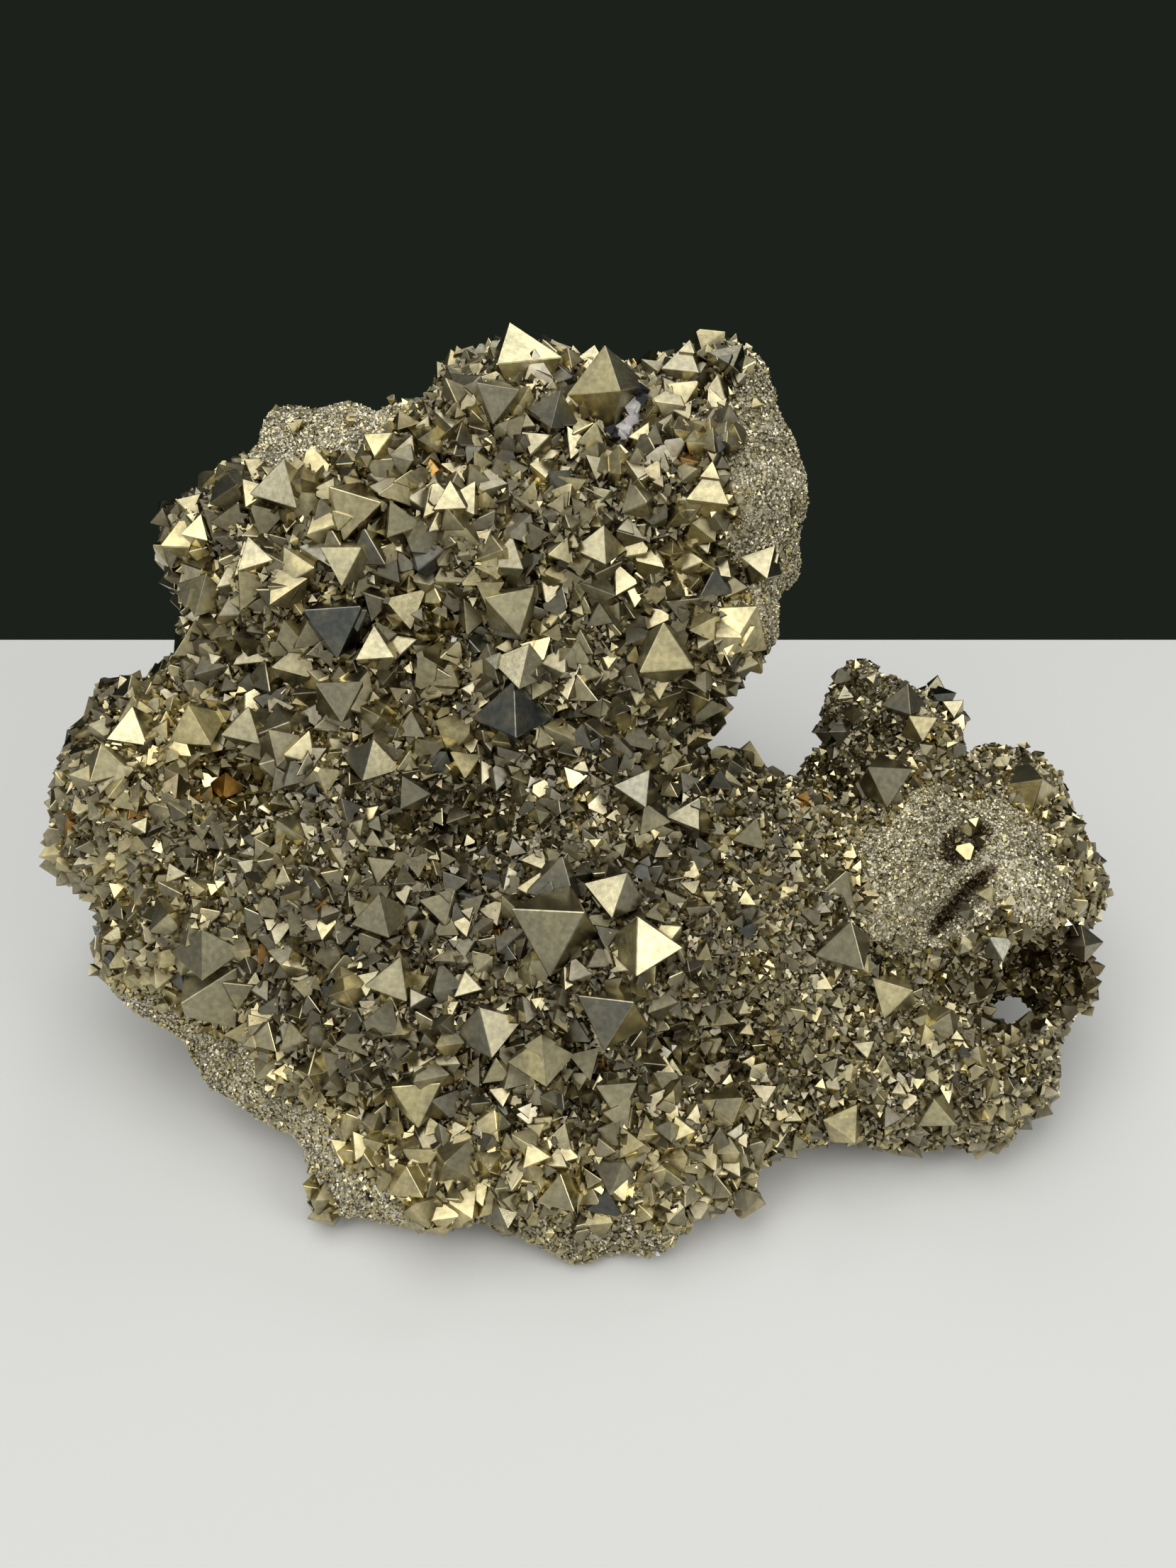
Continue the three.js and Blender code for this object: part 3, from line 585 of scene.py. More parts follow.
# The crystals that stand out in the photograph: pixel of the middle, edge, apex (right, up, towards),
# spin about it and how far it stands proud, all as in the solid.
landmarks = [
    ((735, 505), 22, (-0.2, 1, 0.1), -25, -3),
    ((866, 560), 19, (-0.1, 1, 0.35), 12, 5),
    ((842, 510), 13, (0.1, 1, 0), 30, -3),
    ((700, 572), 13, (-0.1, -1, 0.5), 40, 2),
    ((780, 590), 12, (0.3, 0.8, 0.6), 10, 2),
    ((640, 545), 11, (-0.4, 1, 0.3), 5, -1),
    ((965, 520), 12, (0.1, 1, 0.4), 30, 0),
    ((1030, 510), 11, (0.6, 0.9, 0.3), 15, -2),
    ((400, 690), 15, (0.2, 0.8, 0.8), 40, 2),
    ((500, 722), 16, (-0.6, 0.5, 0.8), 35, 3),
    ((562, 745), 12, (-0.2, 0.9, 0.5), -20, 2),
    ((330, 690), 13, (-0.5, 0.9, 0.2), 15, 1),
    ((292, 838), 14, (0.3, 0.6, 1), 10, 2),
    ((286, 752), 9, (0.2, 1, 0.6), 40, 2),
    ((362, 790), 11, (-0.3, 1, 0.5), 45, 1),
    ((492, 792), 13, (-0.9, 0.4, 0.5), 30, 2),
    ((475, 882), 17, (0.1, -1, 0.5), 42, 4),
    ((535, 920), 12, (-0.1, 1, 0.5), 40, 3),
    ((722, 858), 15, (0.3, -1, 0.6), 38, 3),
    ((722, 795), 12, (0, 1, 0.4), 25, 3),
    ((640, 712), 10, (-0.1, 1, 0.6), 35, 2),
    ((845, 775), 12, (0.2, 1, 0.9), 20, 2),
    ((740, 940), 14, (0.3, 0.7, 0.8), 15, 3),
    ((722, 1022), 18, (0.05, 1, 0.6), 8, 5),
    ((930, 925), 17, (-0.7, -0.6, 0.7), 35, 4),
    ((1045, 885), 18, (0.5, 0.5, 0.8), 20, 0),
    ((1075, 800), 11, (0.5, 0.8, 0.6), 25, 1),
    ((1000, 700), 13, (0.1, 1, 0.6), 40, 1),
    ((995, 880), 9, (0.4, 0.2, 1), 0, 2),
    ((280, 1035), 14, (-0.1, 0.8, 0.9), 30, 4),
    ((350, 1030), 12, (0.2, 0.9, 0.6), 45, 2),
    ((190, 1030), 13, (0.1, 1, 0.7), 40, 1),
    ((480, 985), 14, (0.2, -0.9, 0.7), 30, 2),
    ((524, 1075), 13, (0.2, 0.8, 0.7), 0, 2),
    ((582, 1030), 9, (0, 1, 0.7), 40, 2),
    ((580, 1120), 10, (-0.4, -0.8, 0.8), 35, 1),
    ((150, 1080), 12, (-0.3, -0.6, 0.9), 20, 1),
    ((895, 1122), 12, (0.3, -0.6, 0.9), 42, 4),
    ((972, 1165), 12, (0.2, -0.2, 1), 30, 3),
    ((918, 1152), 10, (-0.3, 0.7, 0.8), 45, 1),
    ((790, 1312), 22, (0.5, 0.35, 0.8), 38, 5),
    ((905, 1335), 17, (-0.2, -0.7, 0.9), 20, 3),
    ((785, 1248), 15, (0.2, 0.9, 0.6), 42, 3),
    ((868, 1262), 14, (0.4, 0.8, 0.7), 10, 2),
    ((540, 1292), 13, (0, 0.9, 0.7), 20, 3),
    ((622, 1280), 11, (0.3, -0.7, 0.8), 35, 2),
    ((408, 1172), 12, (-0.3, 0.5, 1), 30, 1),
    ((296, 1402), 19, (-0.4, -0.1, 1), 25, 1),
    ((290, 1345), 15, (0.1, 0.8, 0.8), 10, 0),
    ((497, 1396), 9, (0, 0.1, 1), 20, 3),
    ((380, 1462), 9, (0.2, 1, 0.7), 40, 2),
    ((555, 1385), 13, (0.6, -0.5, 0.8), 30, 1),
    ((688, 1450), 15, (-0.2, 0.8, 0.8), 0, 2),
    ((762, 1490), 14, (0.1, 0.9, 0.8), 15, 4),
    ((865, 1425), 17, (0.5, 0.4, 0.9), 30, 3),
    ((590, 1545), 14, (0.1, -0.9, 0.7), 40, 2),
    ((577, 1665), 10, (0, 1, 0.9), 40, 2),
    ((640, 1640), 13, (-0.2, 0.3, 1), 20, 1),
    ((790, 1678), 11, (0, 1, 0.7), 30, 3),
    ((870, 1545), 12, (0.1, -0.8, 0.9), 40, 1),
    ((1030, 1560), 12, (0.4, 0.6, 0.9), 20, 1),
    ((1245, 1098), 14, (0, -1, 0.6), 40, 5),
    ((1188, 1030), 12, (-1, 0, 0.3), 0, 3),
    ((1328, 988), 9, (0.1, -1, 0.5), 42, 1),
    ((1296, 1026), 10, (0, -1, 0.9), 40, 2),
    ((1192, 978), 9, (-0.2, 1, 0.4), 30, -1),
    ((1452, 1112), 15, (0.1, 0.3, 1), 15, 0),
    ((1526, 1330), 13, (1, 0.1, 0.3), 0, 2),
    ((1187, 1580), 11, (0.3, -0.6, 1), 42, 3),
    ((1190, 1335), 15, (0.1, 0.9, 0.7), 30, 2),
    ((1185, 1250), 14, (0.2, 0.8, 0.9), 42, 0),
    ((1262, 1402), 13, (0.4, 0.3, 1), 20, 2),
    ((1330, 1442), 10, (0.1, 0.7, 1), 30, 1),
    ((1318, 1562), 11, (-0.3, 0.6, 0.9), 20, 2),
    ((1060, 1180), 10, (0.2, 1, 0.6), 35, 1),
]
scatter = {
    "tries": 5200, "most": 145, "edge": (8, 12.5), "room": 1.25, "seed": 4127, "deepest": 3, "highest": 4,
    "above": 12, "facingBack": 0.35, "proud": 0.08, "lean": 1.3,
}
# Sugary places of the solid, which no scattered crystal stands on: middle and reach.
sugary = [
    ((104, -26, 76), 30), ((132, -32, 68), 22), ((70, 55, 140), 40), ((-88, 96, 148), 34),
    ((-84, -92, 12), 26), ((-124, -62, 14), 26), ((166, -36, 40), 24), ((164, -8, 58), 24),
    ((86, 19, 88), 17), ((114, 15, 81), 15), ((-160, -12, 76), 36), ((-16, 82, 183), 12),
    ((22, 80, 178), 12), ((49, 78, 40), 12), ((136, -60, 45), 25), ((150, -58, 42), 18),
    ((158, -24, 62), 18), ((-108, -85, 22), 14), ((-130, 45, 138), 14), ((-87, 59, 166), 10),
    ((50, 28, 94), 14), ((-50, -122, 16), 20), ((-8, -126, 14), 20), ((32, -121, 14), 20),
    ((107, -97, 12), 12), ((139, -84, 20), 16), ((149, -58, 16), 14), ((78, 8, 66), 12),
    ((-139, 33, 128), 17), ((-142, 38, 116), 14), ((-139, 31, 100), 12), ((76, 23, 100), 12),
    ((-121, 36, 150), 12), ((132, 13, 75), 10), ((70, 16, 90), 15), ((55, 76, 176), 10),
]

# Forms of one crystal, an octahedron with an edge of 1. The edges are a little rounded off, which
# catches the light in thin lines; a large crystal's edge is rounded less for its size than a small one's.
shapeLook = {
    "largeBevel": 0.012, "mediumBevel": 0.02, "longEdge": 0.5, "cornerBevel": 0.16,
    "growth": (0.5, 1.1), "variants": 6, "seed": 31,
}
pieceTriangles = 190000  # a set of crystals with more is split into further pieces


def octahedron():
    bm = bmesh.new()
    bmesh.ops.create_uvsphere(bm, u_segments=4, v_segments=2, radius=1 / math.sqrt(2))
    return bm


def roundEdges(bm, edges, offset):
    bmesh.ops.bevel(bm, geom=edges, offset=offset, segments=1, profile=0.5, affect="EDGES", material=-1)


def sharp(bm):
    return bm


def largeEdged(bm):
    roundEdges(bm, bm.edges[:], shapeLook["largeBevel"])
    return bm


def edged(bm):
    roundEdges(bm, bm.edges[:], shapeLook["mediumBevel"])
    return bm


def blunted(bm):
    corners = [v for v in bm.verts if v.co.x + v.co.y > 0.1]
    bmesh.ops.bevel(bm, geom=corners, offset=shapeLook["cornerBevel"], segments=1, profile=0.5,
                    affect="VERTICES", material=-1)
    return bm


def uneven(bm):  # the faces grew at different speeds, so none is an even triangle
    bm.normal_update()
    faces = [(face.normal.copy(), face.calc_center_median().length) for face in bm.faces]
    for normal, reach in faces:
        cut = reach * shapeDraws.uniform(*shapeLook["growth"])
        if cut < reach:
            bmesh.ops.bisect_plane(
                bm, geom=bm.verts[:] + bm.edges[:] + bm.faces[:], dist=1e-5, plane_co=normal * cut,
                plane_no=normal, clear_outer=True)
            bmesh.ops.holes_fill(bm, edges=bm.edges[:])
    return bm


def unevenEdged(bm):
    bm = uneven(bm)
    longEdges = [edge for edge in bm.edges if edge.calc_length() > shapeLook["longEdge"]]
    roundEdges(bm, longEdges, shapeLook["mediumBevel"])
    return bm


def shapeOf(make):
    mesh = meshFrom(make(octahedron()), "shape")
    totals = np.array([len(p.vertices) for p in mesh.polygons])
    loops = np.array([v for p in mesh.polygons for v in p.vertices])
    shape = {"points": coordinatesOf(mesh), "totals": totals, "loops": loops,
             "triangles": int((totals - 2).sum())}
    bpy.data.meshes.remove(mesh)
    return shape


shapeDraws = np.random.default_rng(shapeLook["seed"])
shapes = {make.__name__: [shapeOf(make)] for make in (sharp, largeEdged, edged, blunted)}
for make in (uneven, unevenEdged):
    shapes[make.__name__] = [shapeOf(make) for _ in range(shapeLook["variants"])]
print("crystal shapes", {name: [one["triangles"] for one in kind] for name, kind in shapes.items()})


def unit(vectors):
    return vectors / np.maximum(np.linalg.norm(vectors, axis=1, keepdims=True), 1e-9)


def turnsFrom(apex, facing, spin):  # columns: front, across, apex, then a turn about the apex
    apex = unit(apex)
    across = unit(np.cross(apex, facing))
    front = np.cross(across, apex)
    c, s = np.cos(spin)[:, None], np.sin(spin)[:, None]
    return np.stack([front * c + across * s, across * c - front * s, apex], axis=2)


def placeShape(shape, crystals):
    local = shape["points"][None] * crystals["stretch"][:, None, :] * crystals["edge"][:, None, None]
    placed = np.einsum("nij,nkj->nki", crystals["turn"], local)
    # How high each point stands over the crust, in edges: the low points take the painted shade.
    lift = np.einsum("nki,ni->nk", placed, crystals["outward"]) / crystals["edge"][:, None]
    placed = placed + crystals["centre"][:, None, :]
    placed[..., 2] = np.maximum(placed[..., 2], 0)
    return local, placed, lift + crystals["proud"][:, None]


def growCrystals(name, shapeNames, crystals, material, ownPlace=False):
    kinds = [shape for shapeName in shapeNames for shape in shapes[shapeName]]
    most = pieceTriangles // max(shape["triangles"] for shape in kinds)
    count = len(crystals["edge"])
    total = 0
    for part in range(0, count, most):
        points, owns, lifts, tones, wears, rustAndShadeValues, loops, sides = [[] for _ in range(8)]
        start = 0
        for index, shape in enumerate(kinds):
            some = chosenOf(crystals, np.arange(part, min(part + most, count))[index::len(kinds)])
            n, k, faces = len(some["edge"]), len(shape["points"]), len(shape["totals"])
            local, placed, lift = placeShape(shape, some)
            points.append(placed.reshape(-1, 3))
            owns.append(local.reshape(-1, 3))
            lifts.append(lift.ravel())
            shift = faceDraws.normal(0, crystalLook["faceTone"], (n, faces))
            # Each crystal's tone is shifted by the painted light and shade of its region.
            tone = (some["tone"] + paintedLightAndShadeAt(some["centre"]))[:, None]
            plain = np.clip(tone + shift, *crystalLook["faceLimits"])
            tones.append(np.where(some["rare"][:, None], some["tone"][:, None], plain).ravel())
            wears.append(np.repeat(some["wear"], k))
            rustAndShadeValues.append(np.repeat(some["rustAndShade"], k))
            loops.append((shape["loops"][None] + start + np.arange(n)[:, None] * k).ravel())
            sides.append(np.tile(shape["totals"], n))
            start += n * k
            total += n * shape["triangles"]
        loops, sides = np.concatenate(loops), np.concatenate(sides)
        mesh = bpy.data.meshes.new(name + str(part // most))
        mesh.vertices.add(start)
        mesh.loops.add(len(loops))
        mesh.polygons.add(len(sides))
        mesh.vertices.foreach_set("co", ((np.concatenate(points) + toMiddle) * mm).ravel())
        mesh.loops.foreach_set("vertex_index", loops)
        mesh.polygons.foreach_set("loop_start", np.concatenate([[0], np.cumsum(sides)[:-1]]))
        mesh.update(calc_edges=True)
        mesh.validate()
        mesh.shade_flat()
        addValues(mesh, "tone", "FACE", np.concatenate(tones))
        for value, values in (("wear", wears), ("lift", lifts), ("rustAndShade", rustAndShadeValues)):
            addValues(mesh, value, "POINT", np.concatenate(values))
        if ownPlace:
            layer = mesh.attributes.new("own", "FLOAT_VECTOR", "POINT")
            layer.data.foreach_set("vector", np.concatenate(owns).astype(np.float32).ravel())
        addPiece(mesh.name, mesh, material)
    print(name, count, "crystals", total, "triangles")


# Nearly all crystals keep to the plain tones; a few of the bigger ones are rare: blue-grey, a painted
# reflection of a grey sky, or orange.
crystalLook = {
    "faceTone": 0.15, "seed": 41, "plain": (0.12, 0.9), "faceLimits": (0.06, 0.94),
    "skyReflected": 0.02, "copper": 0.005, "rareFrom": 5.5, "wearPower": 1.5,
}
faceDraws = np.random.default_rng(crystalLook["seed"])


def looksFor(rng, edges):
    count = len(edges)
    tone = rng.uniform(*crystalLook["plain"], count)
    draw = rng.random(count) + (edges < crystalLook["rareFrom"])
    skyReflected = draw < crystalLook["skyReflected"]
    copper = (draw > crystalLook["skyReflected"]) & (draw < crystalLook["skyReflected"] + crystalLook["copper"])
    # Painted reflection: the blue-grey crystals take tone 0, as faces that mirror a grey sky.
    tone = np.where(skyReflected, 0.0, np.where(copper, 1.0, tone))
    return {"tone": tone, "rare": skyReflected | copper, "wear": rng.uniform(0, 1, count) ** crystalLook["wearPower"]}


def chosenOf(crystals, which):
    return {key: value[which] for key, value in crystals.items()}


def together(*sets):
    return {key: np.concatenate([one[key] for one in sets]) for key in sets[0]}


# The large crystals, placed as in the solid. Among the finer crystals of the crust they show smaller and
# set deeper than on the plain solid.
largeLook = {
    "markSize": 0.95, "markSunk": 0.15, "topSunk": 0.05, "topAbove": 610, "scatterSize": 0.85,
    "scatterLeast": 0.45, "scatterSunk": 0.2, "scatterFacing": (0.3, -0.8, 0.5), "detailSunk": 0.1,
    "tones": (0.2, 0.85), "skyReflectedBelow": 0.03, "orangeAbove": 0.96, "proud": 0.4, "seed": 5,
}
viewAxes = np.stack([viewRight, viewUp, viewTowards])


def facingViewer(count):
    return np.tile(viewTowards, (count, 1))


marks = surfaceUnder([mark[0] for mark in landmarks])
found = ~np.isnan(marks[:, 0])
marks = marks[found]
kept = [mark for mark, ok in zip(landmarks, found) if ok]
markEdge = np.array([mark[1] for mark in kept], dtype=float)
markApex = np.array([mark[2] for mark in kept], dtype=float) @ viewAxes
markSpin = np.radians([mark[3] for mark in kept])
markProud = np.array([mark[4] for mark in kept], dtype=float)
markOutward = outwardAt(marks)
markCentre = marks + markOutward * markProud[:, None]

allLumps = [lump for body in bodies.values() for lump in body["lumps"]]
areas = [r[0] * r[1] + r[1] * r[2] + r[0] * r[2] for _, r, *_ in allLumps]
draws = randomFrom(scatter["seed"])
tries = []
for _ in range(scatter["tries"]):
    pick, height, turnRound, size, leanX, leanY, leanZ, spin = [next(draws) for _ in range(8)]
    rest = pick * sum(areas)
    for lump, area in zip(allLumps, areas):
        rest -= area
        if rest < 0:
            break
    at, radii, *tilt = lump
    up = height * 2 - 1
    flat = math.sqrt(1 - up * up)
    angle = turnRound * 2 * math.pi
    local = np.array((flat * math.cos(angle), flat * math.sin(angle), up)) * radii
    low, high = scatter["edge"]
    edge = low + (high - low) * size ** 2
    tries.append((*(turnOf(*tilt) @ local + at), edge, leanX - 0.5, leanY - 0.5, leanZ - 0.5, spin * 90))
tries = np.array(tries)
triedPoints = tries[:, :3]
triedDepth = depthAt(triedPoints)
triedOutward = outwardAt(triedPoints)
fits = (triedDepth <= scatter["deepest"]) & (triedDepth >= -scatter["highest"])
fits &= (triedPoints[:, 2] >= scatter["above"]) & (triedOutward[:, 1] <= scatter["facingBack"])
for at, reach in sugary:
    fits &= np.linalg.norm(triedPoints - np.array(at), axis=1) >= reach
takenPoints, takenEdges, chosen = list(markCentre), list(markEdge), []
for i in np.flatnonzero(fits):
    point, edge = triedPoints[i], tries[i, 3]
    gaps = np.linalg.norm(np.array(takenPoints) - point, axis=1)
    if np.any(gaps < (np.array(takenEdges) + edge) * 0.5 * scatter["room"]):
        continue
    chosen.append(i)
    takenPoints.append(point + triedOutward[i] * (triedDepth[i] + edge * scatter["proud"]))
    takenEdges.append(edge)
    if len(chosen) == scatter["most"]:
        break
chosen = np.array(chosen)
scatterOutward = triedOutward[chosen]
scatterEdge = tries[chosen, 3]
scatterLift = triedDepth[chosen] + scatterEdge * scatter["proud"]
scatterCentre = triedPoints[chosen] + scatterOutward * scatterLift[:, None]
scatterApex = scatterOutward + scatter["lean"] * tries[chosen, 4:7]
scatterShare = largeLook["scatterLeast"] + (1 - largeLook["scatterLeast"]) * sizeShareAt(scatterCentre)
rng = np.random.default_rng(largeLook["seed"])


def crystalsAt(centre, edge, turn, outward, sunk):
    return {
        "centre": centre - outward * (sunk * edge)[:, None], "edge": edge, "turn": turn,
        "stretch": np.ones((len(edge), 3)), "outward": outward,
        "proud": np.full(len(edge), largeLook["proud"]),
        "rustAndShade": np.zeros(len(edge)), **looksFor(rng, edge),
    }


# Some of them by pixel: the share of the size, how deep it sits beside the others, and its tone.
markLooks = {
    (475, 882): (1, 0.1, 0.01), (722, 1022): (1, 0.1, 0.0), (740, 940): (1, 0.1, 0.3),
    (290, 1345): (1, 0.1, 0.35), (296, 1402): (1, 0.1, 0.4), (1328, 988): (0.9, 0.1, 0.02),
    (1188, 1030): (0.5, 0.2, 0.1), (1192, 978): (0.6, 0.3, 0.6), (1526, 1330): (0.65, 0.2, 0.15),
    (1452, 1112): (1.1, 0.12, 0.5), (1245, 1098): (1.05, 0.2, 0.5), (1296, 1026): (0.95, 0.1, 0.8),
    (1187, 1580): (1, 0.1, 0.9), (280, 1035): (1, 0.1, 0.9),
}
markTones = rng.uniform(*largeLook["tones"], len(kept))
markSunks = [largeLook["topSunk" if mark[0][1] < largeLook["topAbove"] else "markSunk"] for mark in kept]
markSize, markDepth, markTone = np.array([
    markLooks.get(mark[0], (1, sunk, tone)) for mark, sunk, tone in zip(kept, markSunks, markTones)]).T
marked = crystalsAt(
    markCentre, markEdge * largeLook["markSize"] * markSize,
    turnsFrom(markApex, facingViewer(len(kept)), markSpin), markOutward, markDepth)
# Landmarks with the lowest tones are the blue-grey ones, a painted reflection of a grey sky.
marked["rare"] = markTone < largeLook["skyReflectedBelow"]
marked["tone"] = markTone
scatterFacing = np.tile(largeLook["scatterFacing"], (len(chosen), 1))
scattered = crystalsAt(
    scatterCentre, scatterEdge * largeLook["scatterSize"] * scatterShare,
    turnsFrom(scatterApex, scatterFacing, np.radians(tries[chosen, 7])),
    scatterOutward, np.full(len(chosen), largeLook["scatterSunk"]))
large = together(marked, scattered)

# Smaller ones that stand out by their colour or place, told as the landmarks are, with a tone at the end.
details = [
    ((320, 1112), 8, (0.2, 1, 0.8), 10, 2, 1.0),
    ((1277, 992), 11, (0, 1, 0.5), 0, -1, 0.08),
    ((1320, 965), 9, (0.1, 1, 0.3), 35, -1, 0.3),
    ((1345, 1000), 8, (0.6, 0.6, 0.6), 20, 0, 0.45),
    ((1230, 962), 6, (0.5, 0.8, 0.6), 20, 0, 0.5),
    ((1185, 955), 6, (-0.3, 1, 0.6), 40, 0, 0.35),
    ((1205, 1005), 6, (-0.2, 0.2, 1), 40, 0, 0.25),
    ((1308, 1055), 6, (0.3, 0.3, 1), 15, 1, 0.75),
    ((1166, 1036), 7, (-1, 0.1, 0.1), 0, 1, 0.06),
    ((1378, 1157), 5, (0.4, 0.8, 0.7), 10, 1, 0.93),
    ((1366, 1172), 5.5, (-0.2, -0.7, 0.9), 20, 1, 0.93),
    ((1362, 1202), 7, (0.4, 0.8, 0.7), 12, 1, 0.93),
    ((1388, 1184), 5, (0.3, -0.6, 1), 42, 1, 0.9),
    ((1392, 1262), 4.5, (0.2, 0.8, 0.8), 20, 1, 0.8),
    ((1366, 1290), 5, (0.3, 0.5, 0.9), 30, 1, 0.05),
    ((1405, 1340), 9, (0.1, -0.6, 0.9), 25, 0, 0.05),
    ((1510, 1170), 6, (0.4, 0.3, 0.9), 30, 0, 0.5),
    ((1500, 1225), 6, (0.5, 0.5, 0.8), 10, 0, 0.6),
    ((1520, 1275), 7, (0.5, 0.3, 0.9), 40, 0, 0.75),
    ((1476, 1148), 5, (0.3, 0.8, 0.7), 10, 0, 0.85),
    ((700, 800), 9, (0.1, 0.9, 0.7), 10, 1, 0.92),
    ((755, 1255), 8, (0.3, 0.9, 0.5), 30, 2, 0.92),
    ((1300, 1440), 7, (0.2, 0.7, 0.8), 15, 1, 0.7),
]
detailPixel, detailEdge, detailApex, detailSpin, detailProud, detailTone = [list(v) for v in zip(*details)]
detailAt = surfaceUnder(detailPixel)
detailOutward = outwardAt(detailAt)
detailed = crystalsAt(
    detailAt + detailOutward * np.array(detailProud)[:, None], np.array(detailEdge, dtype=float),
    turnsFrom(np.array(detailApex) @ viewAxes, facingViewer(len(details)), np.radians(detailSpin)),
    detailOutward, np.full(len(details), largeLook["detailSunk"]))
detailed["tone"] = np.array(detailTone)
detailed["rare"] = detailed["tone"] > largeLook["orangeAbove"]

triangleEdges = massTriangles[:, 1:] - massTriangles[:, :1]
triangleNormals = np.cross(triangleEdges[:, 0], triangleEdges[:, 1])
triangleAreas = np.linalg.norm(triangleNormals, axis=1) / 2
triangleFineness = 1 - sizeShareAt(massTriangles.mean(axis=1))
triangleFacing = unit(triangleNormals)
isBroken = (triangleFacing[:, 1] > backLook["facingBack"]) | (triangleFacing[:, 2] < backLook["facingDown"])
grownAreas = triangleAreas * np.where(isBroken, backLook["fewer"], 1)


def pickPlaces(rng, count, weights):
    picked = rng.choice(len(massTriangles), count, p=weights / weights.sum())
    a, b = rng.random(count), rng.random(count)
    over = a + b > 1
    a[over], b[over] = 1 - a[over], 1 - b[over]
    along = triangleEdges[picked, 0] * a[:, None] + triangleEdges[picked, 1] * b[:, None]
    places = massTriangles[picked, 0] + along
    return places[places[:, 2] > druse["above"]]


def dressCrystals(rng, places, edges, plan):
    outward = outwardAt(places, druse["slopeStep"])
    count = len(places)
    sunk = rng.uniform(*plan["sunk"], count)
    apex = outward + plan["lean"] * rng.normal(size=(count, 3))
    return {
        "centre": places + outward * (sunk * edges)[:, None],
        "edge": edges,
        "turn": turnsFrom(apex, rng.normal(size=(count, 3)), rng.uniform(0, math.pi, count)),
        "stretch": rng.uniform(1 - plan["uneven"], 1 + plan["uneven"], (count, 3)),
        "outward": outward,
        "proud": sunk + druse["stand"],
        "rustAndShade": rustAndShadeAt(places),
        **looksFor(rng, edges),
    }


def spaced(places, edges, room, taken, takenSizes):  # largest first, none crowding another
    cell = 9.0  # wide enough for the largest two side by side
    grid = {}
    for place, size in zip(taken, takenSizes):
        grid.setdefault(tuple((place // cell).astype(int)), []).append((place, size))
    keep = []
    for i in np.argsort(-edges):
        key = (places[i] // cell).astype(int)
        near = [
            other for dx in (-1, 0, 1) for dy in (-1, 0, 1) for dz in (-1, 0, 1)
            for other in grid.get((key[0] + dx, key[1] + dy, key[2] + dz), ())
        ]
        if all(math.dist(places[i], other) > (edges[i] + size) * 0.5 * room for other, size in near):
            grid.setdefault(tuple(key), []).append((places[i], edges[i]))
            keep.append(i)
    return np.array(keep)


def sideGrowths(rng, parents, share, size):  # smaller crystals grown onto others, turned the same way
    picked = np.flatnonzero(rng.random(len(parents["edge"])) < share)
    growth = chosenOf(parents, picked)
    count = len(picked)
    ratio = rng.uniform(*size, count)
    corner = unit(rng.normal(size=(count, 3)) + (0, 0, grownOn["upwards"])) ** grownOn["cornered"]
    corner /= np.abs(corner).sum(axis=1, keepdims=True)
    reach = growth["edge"] * (grownOn["reach"] - grownOn["sunk"] * ratio)
    growth["centre"] = growth["centre"] + np.einsum("nij,nj->ni", growth["turn"], corner) * reach[:, None]
    growth["edge"] = growth["edge"] * ratio
    return growth


# The crystals between the large ones: how many places are tried, the edges and how they are spread over
# that range, how much the zones of finer ones tell, the room that each keeps from its like and from bigger
# ones, how they lean, how deep they sit and how uneven they are.
druse = {
    "above": 1.2, "slopeStep": 3, "stand": 0.1,
    "medium": {"places": 70000, "edge": (3.6, 12.0), "power": 1.5, "zones": 1, "least": 2.4, "room": 0.4,
               "clear": 0.6, "lean": 0.75, "sunk": (-0.32, 0.0), "uneven": 0.18, "seed": 21},
    # The small ones and the grains also sit lower between bigger crystals by a share of their edge, which
    # paints more shade on them.
    "small": {"places": 40000, "edge": (1.6, 3.2), "power": 1.3, "zones": 0.6, "paintedGapShade": 0.4, "room": 0.4,
              "clear": 0.7, "lean": 0.8, "sunk": (-0.1, 0.4), "uneven": 0.16, "seed": 22},
    "grains": {"places": 36000, "edge": (0.7, 1.4), "power": 1.5, "zones": 0.2, "paintedGapShade": 0.6,
               "coarse": 0.1, "fine": 3, "finePower": 3, "hidden": 0.4, "lean": 1.2, "sunk": (0.0, 0.4),
               "uneven": 0.2, "seed": 23},
}
# Crystals grown onto others: the share of these that have one and its size beside theirs, then how much
# they keep to the upper side and to the corners, and how far out they sit.
grownOn = {
    "from": 4.5, "medium": (0.5, (0.4, 0.75)), "marked": (0.5, (0.25, 0.5)), "scattered": (0.5, (0.3, 0.6)),
    "upwards": 0.3, "cornered": 3, "reach": 0.7, "sunk": 0.4,
}
# From which edge a crystal has rounded edges, and from which its faces are uneven.
closeness = {"edged": 6.5, "uneven": 3.8}


def tryPlaces(plan, areas):
    rng = np.random.default_rng(plan["seed"])
    places = pickPlaces(rng, plan["places"], areas)
    return rng, places


def sizesFor(rng, plan, places):
    low, high = plan["edge"]
    full = low + (high - low) * rng.random(len(places)) ** plan["power"]
    return full * (1 - plan["zones"] * (1 - sizeShareAt(places)))


def withPaintedGapShade(crystals, plan):  # painted shade: between bigger crystals the small ones sit lower and take more of the dark brown
    return {**crystals, "proud": crystals["proud"] - plan["paintedGapShade"] * sizeShareAt(crystals["centre"])}


def showing(places, crystals):  # leaves out what a bigger crystal hides
    tree = kdtree.KDTree(len(places))
    for i, place in enumerate(places):
        tree.insert(place, i)
    tree.balance()
    shown = np.ones(len(places), dtype=bool)
    for centre, edge in zip(crystals["centre"], crystals["edge"]):
        shown[[i for _, i, _ in tree.find_range(centre, edge * druse["grains"]["hidden"])]] = False
    return shown


